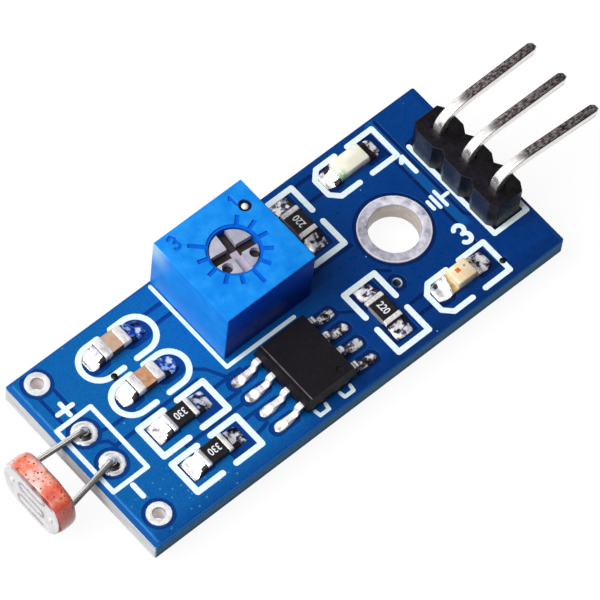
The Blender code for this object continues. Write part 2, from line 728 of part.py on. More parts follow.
def make_comparator():
    x, y = CHIP_CENTRE
    height = CHIP_TOP - CHIP_BOTTOM
    middle = (CHIP_TOP + CHIP_BOTTOM) / 2
    bm = bmesh.new()
    bmesh.ops.create_cube(bm, size=1.0)
    bmesh.ops.scale(bm, vec=Vector((CHIP_WIDTH, CHIP_LENGTH, height)) * MM, verts=bm.verts)
    everything = bm.verts[:] + bm.edges[:] + bm.faces[:]
    bmesh.ops.bisect_plane(bm, geom=everything, plane_co=(0.0, 0.0, 0.0), plane_no=(0.0, 0.0, 1.0))
    for vert in bm.verts:
        if abs(vert.co.z) > height / 4 * MM:
            vert.co.x -= math.copysign(CHIP_DRAFT * MM, vert.co.x)
            vert.co.y -= math.copysign(CHIP_DRAFT * MM, vert.co.y)
    body = add_object("comparator_body", mesh_from(bm, "comparator_body"), place(x, y, middle), "chip_black")
    add_bevel(body, CHIP_EDGE, 2, 30.0)
    mx, my = CHIP_MARK_OFFSET
    mark = place(x + mx, y + my, CHIP_TOP)
    add_boolean(body, cylinder("pin_one_mark", CHIP_MARK_RADIUS, 2 * CHIP_MARK_DEPTH, mark, None, 16))
    exit_x = CHIP_WIDTH / 2 + FIT_GAP
    tip_x = CHIP_LEAD_SPAN / 2
    foot_z = FIT_GAP + PAD_THICKNESS + CHIP_LEAD_THICKNESS / 2
    down_x = exit_x + CHIP_LEAD_SHOULDER
    bend = CHIP_LEAD_BEND
    path = [(exit_x, middle)]
    path += arc((down_x - bend, middle - bend), bend, 90, 10, 4)
    path += arc((down_x + bend, foot_z + bend), bend, 190, 270, 4)
    path.append((tip_x, foot_z))
    strip = strip_outline(path, CHIP_LEAD_THICKNESS)
    # Past the lead's tip its solder runs out along the pad.
    solder = [(CHIP_PAD_SPAN / 2, CHIP_SOLDER_END), (CHIP_PAD_SPAN / 2, FIT_GAP), (tip_x, FIT_GAP)]
    outline = strip[: len(path)] + solder + strip[len(path) :]
    for number in range(1, 9):
        right = number <= 4
        step = (number - 1) if right else (8 - number)
        py = y + (step - 1.5) * CHIP_LEAD_PITCH
        loop = outline if right else [(-px, pz) for px, pz in outline[::-1]]
        plate(
            f"comparator_lead_{number}", [loop], CHIP_LEAD_WIDTH, place(x, py), "pin_plating",
            (math.pi / 2, 0.0, 0.0),
        )


def soldered_end(name, kind, centre, turn, side, cap_height=None):
    """The metal end of a chip part with the solder that runs down from it to the pad."""
    top = cap_height or kind["height"] + CAP_OVER_BODY
    inner = kind["body"] / 2 + FIT_GAP
    outer = inner + kind["cap"]
    profile = [(inner, FIT_GAP), (inner, top), (outer, top)]
    steps = 5
    low = FIT_GAP + PAD_THICKNESS
    for i in range(1, steps + 1):
        share = i / steps
        profile.append((outer + kind["foot"] * share, low + (top - low) * (1 - share) ** FILLET_CURVE))
    profile.append((outer + kind["foot"], FIT_GAP))
    loop = [(side * px, pz) for px, pz in profile]
    rotation = (math.pi / 2, 0.0, math.radians(turn))
    plate(name, [loop], kind["width"] + 2 * CAP_OVER_SIDE, place(*centre), "solder", rotation)


def make_chip_part(name, kind, centre, turn, material):
    body_height = kind["height"] - FIT_GAP
    size = (kind["body"], kind["width"], body_height)
    box(f"{name}_body", size, place(*centre, FIT_GAP + body_height / 2), material, turn)
    for number, side in enumerate((-1, 1), 1):
        soldered_end(f"{name}_end_{number}", kind, centre, turn, side)


def make_led(name, centre, lens, top):
    """A thin base plate with a cast lens on it, drawn as one stepped profile."""
    half = DIODE["body"] / 2
    base = DIODE["height"]
    profile = [
        (-half, FIT_GAP),
        (half, FIT_GAP),
        (half, base),
        (lens / 2, base),
        (lens / 2 - DIODE_DRAFT, top),
        (-lens / 2 + DIODE_DRAFT, top),
        (-lens / 2, base),
        (-half, base),
    ]
    upright = (math.pi / 2, 0.0, 0.0)
    body = plate(f"{name}_body", [profile], DIODE["width"], place(*centre), "lens_resin", upright)
    add_bevel(as_mesh(body), DIODE_EDGE, 2)
    for number, side in enumerate((-1, 1), 1):
        soldered_end(f"{name}_end_{number}", DIODE, centre, 0.0, side, DIODE_SOLDER_TOP)


clear_scene()
module = new_collection("light_sensor_module")
cutters = new_collection("cutters")
materials = make_materials()

make_board()
make_plated_hole("mounting_hole_ring", MOUNT_CENTRE, MOUNT_HOLE_RADIUS, MOUNT_PAD_RADIUS, 40)
for number, pad_y in enumerate(CORNER_PAD_Y, 1):
    centre = (CORNER_PAD_X, pad_y)
    make_plated_hole(f"corner_pad_{number}", centre, CORNER_HOLE_RADIUS, CORNER_PAD_RADIUS, 20)
make_header()
make_photoresistor()
make_trimmer()
make_comparator()
for name, (centre, turn) in RESISTOR_PLACES.items():
    make_chip_part(name, RESISTOR, centre, turn, "resistor_black")
for name, (centre, turn) in CAPACITOR_PLACES.items():
    make_chip_part(name, CAPACITOR, centre, turn, "capacitor_brown")
for name, diode in DIODE_PLACES.items():
    make_led(name, **diode)
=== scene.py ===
import math

import bmesh
import bpy
from mathutils import Matrix, Vector, noise


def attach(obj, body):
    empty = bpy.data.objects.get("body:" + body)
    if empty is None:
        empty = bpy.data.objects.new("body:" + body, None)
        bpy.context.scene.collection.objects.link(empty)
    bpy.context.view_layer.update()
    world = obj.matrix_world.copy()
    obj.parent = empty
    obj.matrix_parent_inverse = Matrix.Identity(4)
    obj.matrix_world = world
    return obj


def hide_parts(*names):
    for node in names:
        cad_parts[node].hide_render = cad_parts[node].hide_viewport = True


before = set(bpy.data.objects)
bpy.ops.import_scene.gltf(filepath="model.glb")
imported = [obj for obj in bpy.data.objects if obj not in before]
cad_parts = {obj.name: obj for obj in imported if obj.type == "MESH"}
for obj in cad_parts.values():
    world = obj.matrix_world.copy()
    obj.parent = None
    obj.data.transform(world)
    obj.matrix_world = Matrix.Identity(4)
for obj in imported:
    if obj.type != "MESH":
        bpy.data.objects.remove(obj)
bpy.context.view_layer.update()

# Positions are in millimetres from the middle of the board's top face, x towards the header.
MM = 0.001
MIDDLE_X = 1.05
BOARD_TOP = 2.5
BOARD_THICKNESS = 1.3
BOARD_LENGTH = 32.2
BOARD_WIDTH = 13.6
TAIL_LENGTH = 1.2
TO_PART = Matrix.Translation((-MIDDLE_X * MM, 0.0, BOARD_TOP * MM)) @ Matrix.Scale(MM, 4)

# Layers on the board's faces.
COPPER_TOP = 0.05
COPPER_EDGE = (0.34, 0.14)
INK_TOP = 0.07
PAD_TOP = 0.09

MOUNT_CENTRE = (8.68, 0.18)
MOUNT_HOLE_RADIUS = 1.62
MOUNT_PAD_RADIUS = 2.3
CORNER_PADS = ((-14.5, 5.76), (-14.5, -5.21))
CORNER_HOLE_RADIUS = 0.4
CORNER_PAD_RADIUS = 0.79
VIAS = ((-10.68, 3.28), (6.37, -2.63), (12.24, -5.53))
OPEN_VIA = VIAS[1]

PITCH = 2.54
HEADER_CENTRE = (14.36, 0.18)
HEADER_PIN_Y = (2.72, 0.18, -2.36)
HEADER_HEIGHT = 2.54
PIN_SIDE = 0.64
PIN_TIP_X = 21.95
PIN_AXIS_HEIGHT = 3.85
PIN_BEND_LENGTH = 1.9
PIN_BEND_HEIGHT = 1.15
PIN_SPLAY_DEGREES = (0.8, -0.4, -2.7)

CELL_CENTRE_Y = 0.04
CELL_CENTRE_HEIGHT = 0.5
CELL_FACE_X = -19.85
CELL_THICKNESS = 1.52
CELL_RADIUS = 2.55
CELL_HALF_HEIGHT = 2.0
CELL_PAD_X = -14.47
CELL_PAD_Y = (1.54, -1.0)
CELL_PAD_RADIUS = 0.82
CELL_LEAD_Y = (1.76, -1.68)
LEAD_RADIUS = 0.2
LEAD_BEND_RADIUS = 0.38
LEAD_STRAIGHT_LENGTH = 0.25

TRIMMER_CENTRE = (-1.57, 3.37)
TRIMMER_LENGTH = 6.85
TRIMMER_WIDTH = 6.75
TRIMMER_TOP = 4.84
TRIMMER_WALL = 0.45
TRIMMER_TOP_WALL = 1.0
TRIMMER_HOLE_RADIUS = 1.56
SCALE_RING_RADIUS = 1.72
ROTOR_RADIUS = 1.5
ROTOR_TOP = 4.7
ROTOR_FLANGE_RADIUS = 2.3
ROTOR_FLANGE_TOP = 3.74
ROTOR_BOTTOM = 2.0
ROTOR_REST_DEGREES = -6.5
SLOT_WIDTH = 0.64
SLOT_DEPTH = 0.65
POINTER_SLOT_DEPTH = 0.34

CHIP_CENTRE = (-1.78, -3.53)
CHIP_LENGTH = 4.9
CHIP_WIDTH = 3.9
CHIP_BOTTOM = 0.15
CHIP_TOP = 1.6
CHIP_LEAD_PITCH = 1.27

RESISTOR = {"body": 1.3, "width": 1.25, "height": 0.52, "cap": 0.32, "foot": 1.05}
CAPACITOR = {"body": 1.2, "width": 1.25, "height": 0.85, "cap": 0.38, "foot": 0.98}
DIODE = {"body": 2.3, "width": 1.3, "height": 0.3, "cap": 0.05, "foot": 0.85}


# Camera, lamps and background.

CAMERA_PLACE = Vector((-124.678, -112.234, 311.073)) * MM
CAMERA_FORWARD = Vector((0.35518, 0.31997, -0.87833))
CAMERA_UP = Vector((0.55890, 0.68048, 0.47390))
CAMERA_LENS = 355.74
LAMP_DISTANCE = 0.8
FILL_DARK = 0.015
FILL_BRIGHT = 0.35
STUDIO_DARK = 0.09
STUDIO_BRIGHT = 1.0
FLOOR_HALF = 2.0
FLOOR_BOUNCE = 0.16
FLOOR_SHADOW = 0.1


def add_camera():
    data = bpy.data.cameras.new("camera")
    data.lens = CAMERA_LENS
    data.sensor_width = 36.0
    data.clip_start = 0.01
    data.clip_end = 10.0
    made = bpy.data.objects.new("camera", data)
    bpy.context.scene.collection.objects.link(made)
    back = -CAMERA_FORWARD.normalized()
    right = CAMERA_UP.cross(back).normalized()
    up = back.cross(right)
    turn = Matrix((right, up, back)).transposed().to_4x4()
    made.matrix_world = Matrix.Translation(CAMERA_PLACE) @ turn
    bpy.context.scene.camera = made


def add_lamp(name, azimuth, elevation, size, power):
    """A square soft box that faces the part. Azimuth 0 is towards +X and 90 towards +Y."""
    data = bpy.data.lights.new(name, "AREA")
    data.shape = "RECTANGLE"
    data.size = data.size_y = size
    data.energy = power
    made = bpy.data.objects.new(name, data)
    bpy.context.scene.collection.objects.link(made)
    a, e = math.radians(azimuth), math.radians(elevation)
    towards = Vector((math.cos(a) * math.cos(e), math.sin(a) * math.cos(e), math.sin(e)))
    made.location = towards * LAMP_DISTANCE
    made.rotation_euler = towards.to_track_quat("Z", "Y").to_euler()


def put(tree, kind, ins=None, **settings):
    """Adds a shader node. Its inputs are values, or sockets of other nodes."""
    made = tree.nodes.new(kind)
    for key, value in settings.items():
        setattr(made, key, value)
    for key, value in (ins or {}).items():
        if isinstance(value, bpy.types.NodeSocket):
            tree.links.new(value, made.inputs[key])
        else:
            made.inputs[key].default_value = value
    return made


def maths(tree, operation, *values):
    return put(tree, "ShaderNodeMath", dict(enumerate(values)), operation=operation).outputs[0]


def shown_directly(tree, *kinds):
    """1 for rays of these kinds, which see the background itself."""
    path = put(tree, "ShaderNodeLightPath")
    total = path.outputs[kinds[0]]
    for kind in kinds[1:]:
        total = maths(tree, "MAXIMUM", total, path.outputs[kind])
    return total


def add_world():
    world = bpy.data.worlds.new("studio")
    bpy.context.scene.world = world
    world.use_nodes = True
    tree = world.node_tree
    tree.nodes.clear()
    out = put(tree, "ShaderNodeOutputWorld")
    towards = put(tree, "ShaderNodeTexCoord").outputs["Generated"]

    def facing(direction, low, high, at_low, at_high):
        ins = {0: towards, 1: Vector(direction).normalized()}
        dot = put(tree, "ShaderNodeVectorMath", ins, operation="DOT_PRODUCT").outputs["Value"]
        ins = {"Value": dot, "From Min": low, "From Max": high, "To Min": at_low, "To Max": at_high}
        return put(tree, "ShaderNodeMapRange", ins, interpolation_type="SMOOTHSTEP").outputs["Result"]

    fill = facing((-0.85, 0.4, 0.45), -0.1, 1.0, FILL_DARK, FILL_BRIGHT)
    side = facing((-0.8, 0.35, 0.49), 0.36, 0.5, STUDIO_DARK, STUDIO_BRIGHT)
    strip = facing((0.3, 0.8, 0.5), 0.88, 0.95, STUDIO_DARK, STUDIO_BRIGHT)
    seen = maths(tree, "MAXIMUM", side, strip)
    glossy = put(tree, "ShaderNodeLightPath").outputs["Is Glossy Ray"]
    strength = put(tree, "ShaderNodeMix", {0: glossy, 2: fill, 3: seen}, data_type="FLOAT").outputs[0]
    camera = shown_directly(tree, "Is Camera Ray", "Is Transmission Ray")
    strength = put(tree, "ShaderNodeMix", {0: camera, 2: strength, 3: 1.0}, data_type="FLOAT").outputs[0]
    background = put(tree, "ShaderNodeBackground", {"Color": (1.0, 1.0, 1.0, 1.0), "Strength": strength})
    tree.links.new(background.outputs[0], out.inputs["Surface"])


def add_floor():
    mesh = bpy.data.meshes.new("floor")
    corners = [(x * FLOOR_HALF, y * FLOOR_HALF, 0) for x, y in ((-1, -1), (1, -1), (1, 1), (-1, 1))]
    mesh.from_pydata(corners, [], [(0, 1, 2, 3)])
    made = bpy.data.objects.new("floor", mesh)
    bpy.context.scene.collection.objects.link(made)
    material = bpy.data.materials.new("floor_white")
    material.use_nodes = True
    tree = material.node_tree
    tree.nodes.clear()
    out = put(tree, "ShaderNodeOutputMaterial")
    lit = put(tree, "ShaderNodeBsdfDiffuse", {"Color": (*[FLOOR_BOUNCE] * 3, 1.0)}).outputs[0]
    shadow = put(tree, "ShaderNodeBsdfDiffuse", {"Color": (*[FLOOR_SHADOW] * 3, 1.0)}).outputs[0]
    glow = put(tree, "ShaderNodeEmission", {"Strength": 1.02 - FLOOR_SHADOW}).outputs[0]
    white = put(tree, "ShaderNodeAddShader", {0: shadow, 1: glow}).outputs[0]
    seen = shown_directly(tree, "Is Camera Ray", "Is Glossy Ray", "Is Transmission Ray")
    both = put(tree, "ShaderNodeMixShader", {0: seen, 1: lit, 2: white}).outputs[0]
    tree.links.new(both, out.inputs["Surface"])
    mesh.materials.append(material)


add_camera()
add_lamp("key", 163, 52, 0.58, 7.0)
add_lamp("top", 270, 80, 0.5, 0.8)
add_world()
add_floor()


# Materials. Patterns are in the piece's own coordinates, in millimetres.

def light(colour):
    """Three numbers as a screen shows them, 0 to 255, as linear light. Linear colours and sockets stay."""
    if isinstance(colour, bpy.types.NodeSocket) or len(colour) == 4:
        return colour
    shares = [value / 255 for value in colour]
    return (*[s / 12.92 if s <= 0.04045 else ((s + 0.055) / 1.055) ** 2.4 for s in shares], 1.0)


class Look:
    """A material under construction."""

    def __init__(self, name, roughness=0.5, metallic=0.0, specular=0.5, coat=0.0, coat_roughness=0.1):
        material = bpy.data.materials.new(name)
        material.use_nodes = True
        MATERIALS[name] = material
        self.tree = material.node_tree
        self.shader = self.tree.nodes["Principled BSDF"]
        self.set("Roughness", roughness)
        self.set("Metallic", metallic)
        self.set("Specular IOR Level", specular)
        self.set("Coat Weight", coat)
        self.set("Coat Roughness", coat_roughness)
        self.where = self.scaled(1.0, 1.0, 1.0)

    def put(self, kind, ins=None, **settings):
        return put(self.tree, kind, ins, **settings)

    def set(self, socket, value):
        if isinstance(value, bpy.types.NodeSocket):
            self.tree.links.new(value, self.shader.inputs[socket])
        else:
            self.shader.inputs[socket].default_value = value

    def colour(self, value):
        self.set("Base Color", value)

    def rough(self, pattern, at_low, at_high):
        """Roughness that follows a pattern."""
        self.set("Roughness", self.spread(pattern, 0.3, 0.7, at_low, at_high))

    def scaled(self, x, y, z):
        ins = {
            "Vector": self.put("ShaderNodeTexCoord").outputs["Object"],
            "Scale": (x / MM, y / MM, z / MM),
        }
        return self.put("ShaderNodeMapping", ins).outputs["Vector"]

    def part_of(self, vector, index):
        return self.put("ShaderNodeSeparateXYZ", {"Vector": vector}).outputs[index]

    def axis(self, index):
        return self.part_of(self.where, index)

    def normal(self, index):
        return self.part_of(self.put("ShaderNodeNewGeometry").outputs["True Normal"], index)

    def noise(self, scale, detail=3.0, roughness=0.55, where=None):
        ins = {"Vector": where or self.where, "Scale": scale, "Detail": detail, "Roughness": roughness}
        return self.put("ShaderNodeTexNoise", ins).outputs[0]

    def cells(self, scale):
        return self.put("ShaderNodeTexVoronoi", {"Vector": self.where, "Scale": scale}).outputs["Distance"]

    def spread(self, value, low, high, at_low=0.0, at_high=1.0):
        ins = {"Value": value, "From Min": low, "From Max": high, "To Min": at_low, "To Max": at_high}
        return self.put("ShaderNodeMapRange", ins, interpolation_type="SMOOTHSTEP").outputs["Result"]

    def fall(self, value, low, high):
        return self.spread(value, low, high, 1.0, 0.0)

    def x(self, low, high, at_low=0.0, at_high=1.0):
        """A step along x, from the low place to the high one."""
        return self.spread(self.axis(0), low, high, at_low, at_high)

    def y(self, low, high, at_low=0.0, at_high=1.0):
        return self.spread(self.axis(1), low, high, at_low, at_high)

    def z(self, low, high, at_low=0.0, at_high=1.0):
        return self.spread(self.axis(2), low, high, at_low, at_high)

    def mix(self, factor, a, b):
        return self.put("ShaderNodeMix", {0: factor, 6: light(a), 7: light(b)}, data_type="RGBA").outputs[2]

    def ramp(self, factor, *stops):
        """Colours along a factor. A stop is its position and then its colour."""
        made = self.put("ShaderNodeValToRGB", {"Fac": factor})
        elements = made.color_ramp.elements
        for (position, *colour), element in zip((stops[0], stops[-1]), elements):
            element.position, element.color = position, light(colour)
        for position, *colour in stops[1:-1]:
            elements.new(position).color = light(colour)
        return made.outputs["Color"]

    def bump(self, height, strength, depth):
        """Bumps of this depth in millimetres."""
        ins = {"Height": height, "Strength": strength, "Distance": depth * MM}
        self.set("Normal", self.put("ShaderNodeBump", ins).outputs["Normal"])

    def maths(self, operation, *values):
        return maths(self.tree, operation, *values)

    def both(self, a, b):
        return self.maths("MULTIPLY", a, b)

    def either(self, a, b):
        return self.maths("MAXIMUM", a, b)

    def size(self, value):
        return self.maths("ABSOLUTE", value)

    def below(self, value, limit):
        return self.maths("LESS_THAN", value, limit)

    def above(self, value, limit):
        return self.maths("GREATER_THAN", value, limit)

    def sideways(self, limit=0.5):
        """1 where a face looks to the side, and 0 where it looks up or down."""
        return self.below(self.size(self.normal(2)), limit)


MATERIALS = {}
TRIMMER_MIDDLE = (TRIMMER_CENTRE[0] - MIDDLE_X, TRIMMER_CENTRE[1])


def mask_colour(look, left, right, speck=True):
    """Blue with painted light, deeper towards the header and the front, slightly cloudy, with a few pale
    specks of dust.
    """
    # Painted reflection: paler towards the left and the back, deeper towards the header; painted shade
    # along the front edge.
    along = look.x(-7.0, 4.5)
    along = look.maths("ADD", along, look.y(-6.0, 6.0, 0.1, -0.08))
    low = look.y(-6.7, -5.5, 0.5, 0.0)
    cloud = look.both(look.maths("SUBTRACT", look.noise(0.35, 4.0), 0.5), 0.35)
    along = look.maths("ADD", look.maths("ADD", along, low), cloud)
    deep = [0.72 * share for share in light(right)[:3]]
    colour = look.ramp(look.both(along, 0.69), (0.0, *left), (0.69, *right), (1.0, *deep, 1.0))
    grain = look.noise(9.0, 2.0)
    dark = look.mix(0.35, colour, (0, 20, 70))
    colour = look.mix(look.spread(grain, 0.35, 0.75), colour, dark)
    if speck:
        dots = look.fall(look.cells(1.1), 0.035, 0.06)
        rare = look.spread(look.noise(0.8, 1.0), 0.56, 0.6)
        colour = look.mix(look.both(dots, rare), colour, (150, 195, 235))
        near = look.both(look.x(-10.5, -9.5, 0.55, 0.0), look.y(-3.6, -3.0, 1.0, 0.0))
        dust = look.both(near, look.fall(look.cells(2.4), 0.08, 0.2))
        colour = look.mix(dust, colour, (96, 168, 228))
    return colour


def mask_on_copper():
    look = Look("mask_on_copper", specular=0.18)
    top = mask_colour(look, (9, 104, 180), (0, 58, 132))
    # A lighter strip between two traces beside the header.
    band = look.both(look.x(10.88, 11.0), look.x(11.46, 11.58, 1.0, 0.0))
    band = look.both(band, look.y(-2.6, -2.0, 0.0, 0.5))
    top = look.mix(band, top, (18, 102, 176))
    # A painted highlight along the copper's left edge.
    brink = look.both(
        look.x(-16.78, -16.64, 0.9, 0.0), look.spread(look.noise(1.2, 2.0), 0.3, 0.6, 0.5, 1.0),
    )
    top = look.mix(brink, top, (58, 140, 220))
    # Painted highlight on the copper's side faces, brighter at the left end.
    lit = look.mix(look.x(-16.6, -16.5, 1.0, 0.0), (44, 118, 190), (96, 168, 236))
    look.colour(look.mix(look.sideways(0.9), top, lit))
    look.rough(look.noise(2.0), 0.26, 0.42)
    look.bump(look.noise(3.0, 3.0), 0.25, 0.02)


def mask_on_laminate():
    look = Look("mask_on_laminate", specular=0.2)
    top = mask_colour(look, (3, 62, 140), (0, 34, 94), False)
    # The mask is paler at the board's left edge, a painted sheen, and bluer on the rim round the copper.
    pale = look.both(look.x(-16.86, -16.78, 1.0, 0.0), look.y(-3.0, 2.0, 0.35, 1.0))
    border = look.size(look.maths("ADD", look.axis(0), MIDDLE_X))
    border = look.either(
        look.spread(border, BOARD_LENGTH / 2 - 0.4, BOARD_LENGTH / 2 - 0.32),
        look.spread(look.size(look.axis(1)), BOARD_WIDTH / 2 - 0.2, BOARD_WIDTH / 2 - 0.12),
    )
    rim_blue = look.ramp(look.x(-12.0, 8.0), (0.0, 17, 88, 166), (1.0, 6, 54, 124))
    top = look.mix(border, top, rim_blue)
    top = look.mix(pale, top, (26, 104, 182))
    # The sawn edges show the laminate's layers.
    layers = look.noise(1.0, 4.0, 0.6, look.scaled(0.5, 0.5, 9.0))
    ends = look.ramp(layers, (0.3, 200, 205, 208), (0.5, 236, 239, 242), (0.7, 250, 251, 252))
    sides = look.ramp(layers, (0.3, 104, 164, 224), (0.5, 126, 184, 244), (0.7, 150, 200, 250))
    # The long sides are bluer than the ends, with painted shade towards the bottom.
    lower = look.z(1.25, 1.75, 1.0, 0.0)
    sides = look.mix(lower, sides, (112, 150, 178))
    across = look.above(look.size(look.normal(1)), 0.6)
    edge = look.mix(across, ends, sides)
    rim = look.z(BOARD_TOP - 0.45, BOARD_TOP)
    edge = look.mix(look.both(rim, across), edge, (92, 180, 255))
    look.colour(look.mix(look.sideways(), top, edge))
    look.set("Roughness", look.spread(look.sideways(), 0.0, 1.0, 0.3, 0.65))
    look.set("Specular IOR Level", look.spread(look.sideways(), 0.0, 1.0, 0.2, 0.03))
    look.bump(look.noise(5.0, 4.0), 0.3, 0.02)


def via_ring():
    look = Look("via_ring", 0.3)
    look.colour(look.ramp(look.x(5.1, 5.5), (0.0, 20, 70, 130), (1.0, 190, 204, 214)))


def ring_tin():
    look = Look("ring_tin", metallic=0.38, specular=0.5)
    cloud = look.noise(1.6, 5.0, 0.65)
    along = look.both(cloud, look.x(5.4, 9.9, 0.8, 1.25))
    colour = look.ramp(
        along, (0.3, 140, 136, 152), (0.45, 192, 189, 204), (0.6, 224, 223, 238), (0.8, 248, 248, 255),
    )
    ins = {0: look.where, 1: (MOUNT_CENTRE[0] - MIDDLE_X, MOUNT_CENTRE[1], BOARD_TOP)}
    reach = look.put("ShaderNodeVectorMath", ins, operation="DISTANCE").outputs["Value"]
    # Painted highlight on the ring's outer edge, and painted shade on its inner edge towards the header.
    colour = look.mix(
        look.spread(reach, MOUNT_PAD_RADIUS - 0.12, MOUNT_PAD_RADIUS - 0.06, 0.0, 0.7), colour,
        (252, 252, 255),
    )
    lip = look.spread(look.maths("ADD", look.axis(0), look.axis(1)), 7.6, 8.1, 0.0, 0.75)
    lip = look.both(lip, look.fall(reach, MOUNT_HOLE_RADIUS, MOUNT_HOLE_RADIUS + 0.07))
    colour = look.mix(lip, colour, (58, 50, 60))
    wall = look.ramp(cloud, (0.3, 178, 164, 156), (0.7, 218, 210, 202))
    look.colour(look.mix(look.sideways(), colour, wall))
    look.rough(cloud, 0.32, 0.55)
    look.bump(look.noise(3.2, 4.0), 0.5, 0.05)


def pad_white():
    look = Look("pad_white", metallic=0.2)
    cloud = look.noise(2.4, 3.0)
    top = look.ramp(cloud, (0.3, 224, 227, 232), (0.55, 248, 249, 251), (0.8, 252, 252, 253))
    wall = look.ramp(cloud, (0.3, 232, 220, 218), (0.7, 250, 244, 242))
    # Painted shade on the barrel's wall just under the top.
    wall = look.mix(look.z(BOARD_TOP - 0.2, BOARD_TOP - 0.06, 0.0, 0.6), wall, (120, 104, 104))
    look.colour(look.mix(look.sideways(), top, wall))
    look.rough(cloud, 0.28, 0.45)
    look.bump(look.noise(5.0, 3.0), 0.35, 0.03)


def joint_tin():
    look = Look("joint_tin", metallic=0.2)
    cloud = look.noise(2.4, 3.0)
    top = look.ramp(cloud, (0.3, 226, 229, 234), (0.55, 248, 249, 251), (0.8, 253, 253, 254))
    # Painted shade on slopes that look to the front, and on steep patches.
    away = look.maths("SUBTRACT", look.both(look.normal(0), -0.35), look.normal(1))
    dark = look.both(look.spread(away, 0.16, 0.24), look.z(BOARD_TOP + 0.08, BOARD_TOP + 0.1))
    dark = look.either(dark, look.both(look.sideways(0.86), look.spread(cloud, 0.5, 0.56, 0.0, 0.8)))
    look.colour(look.mix(dark, top, (34, 28, 30)))
    look.rough(cloud, 0.24, 0.42)
    look.bump(look.noise(3.0, 3.0), 0.4, 0.05)


def solder_bright():
    look = Look("solder_bright", metallic=0.6)
    cloud = look.noise(1.5, 3.0, 0.5)
    colour = look.ramp(
        cloud, (0.32, 70, 66, 74), (0.4, 214, 212, 218), (0.46, 250, 250, 252), (0.8, 253, 253, 254),
    )
    # Painted shade where the solder meets the board.
    foot = look.z(BOARD_TOP + 0.02, BOARD_TOP + 0.1, 0.9, 0.0)
    look.colour(look.mix(foot, colour, (26, 24, 38)))
    look.rough(look.noise(3.0), 0.12, 0.3)
    look.bump(look.noise(2.2, 3.0, 0.55), 0.5, 0.08)


def cap_silver():
    look = Look("cap_silver", metallic=0.15)
    streak = look.noise(4.0, 4.0, 0.6, look.scaled(1.0, 0.35, 1.0))
    look.colour(look.ramp(streak, (0.3, 206, 200, 200), (0.5, 242, 238, 236), (0.75, 252, 250, 248)))
    look.rough(streak, 0.25, 0.4)
    look.bump(streak, 0.3, 0.02)


def leg_shaded():
    look = Look("leg_shaded", metallic=0.1)
    cloud = look.noise(3.0, 3.0)
    # Painted shade with painted glints, for the legs that face away from the lamps.
    colour = look.ramp(cloud, (0.42, 22, 18, 24), (0.52, 90, 86, 92), (0.58, 246, 244, 245))
    # Painted highlight on the bends by the case, with a painted dark line across it.
    near = look.x(-0.5, -0.42, 1.0, 0.0)
    painted_dark_line = look.both(look.x(-0.72, -0.68), look.x(-0.64, -0.6, 1.0, 0.0))
    near = look.maths("SUBTRACT", near, look.both(painted_dark_line, 0.75))
    look.colour(look.mix(near, colour, (253, 253, 253)))
    look.set("Roughness", 0.28)
    look.bump(cloud, 0.3, 0.03)


def pin_metal():
    look = Look("pin_metal", metallic=0.8)
    streak = look.noise(7.0, 4.0, 0.75, look.scaled(0.55, 1.0, 1.0))
    colour = look.ramp(
        streak, (0.38, 84, 64, 68), (0.48, 150, 132, 136), (0.54, 200, 188, 188), (0.64, 255, 250, 248),
    )
    # Painted dark reflections on the rounded edges.
    slope = look.size(look.normal(1))
    line = look.both(look.above(slope, 0.15), look.below(slope, 0.93))
    colour = look.mix(line, colour, (44, 34, 36))
    # Painted highlight: the bend and the sides are pale, and the speckle stays on top.
    bend = look.x(14.9, 15.6, 1.0, 0.0)
    pale = look.either(bend, look.below(look.normal(1), -0.5))
    pale = look.either(pale, look.below(look.normal(2), 0.3))
    plain = look.ramp(streak, (0.3, 222, 216, 214), (0.6, 252, 249, 248))
    look.colour(look.mix(pale, colour, plain))
    look.rough(streak, 0.14, 0.22)
    look.bump(streak, 0.2, 0.02)


def lead_wire():
    look = Look("lead_wire", metallic=0.85)
    streak = look.noise(3.0, 4.0, 0.6, look.scaled(0.3, 1.0, 1.0))
    colour = look.ramp(streak, (0.3, 206, 200, 194), (0.5, 244, 240, 236), (0.8, 255, 254, 252))
    # Painted shade on the side that looks to the front.
    colour = look.mix(look.spread(look.normal(1), -0.85, -0.5, 0.85, 0.0), colour, (66, 52, 48))
    look.colour(colour)
    look.rough(streak, 0.1, 0.2)
    look.bump(streak, 0.15, 0.02)


def header_black():
    look = Look("header_black", specular=0.2)
    cloud = look.noise(2.5, 4.0)
    colour = look.ramp(cloud, (0.3, 6, 4, 7), (0.7, 17, 13, 17))
    # Painted sheen on the part towards the chip.
    near = look.x(12.9, 13.4, 1.0, 0.0)
    colour = look.mix(near, colour, look.ramp(cloud, (0.3, 13, 10, 15), (0.7, 28, 24, 33)))
    # Painted reflection of the board's blue on the faces towards the chip, and painted shade on the slanted
    # ones.
    left = look.below(look.normal(0), -0.97)
    colour = look.mix(left, colour, look.ramp(cloud, (0.3, 14, 26, 50), (0.7, 34, 44, 68)))
    slant = look.both(look.above(look.normal(0), -0.97), look.below(look.normal(0), -0.3))
    colour = look.mix(slant, colour, (8, 8, 14))
    look.colour(colour)
    look.rough(look.noise(5.0), 0.3, 0.46)
    look.bump(look.noise(7.0, 4.0), 0.35, 0.03)


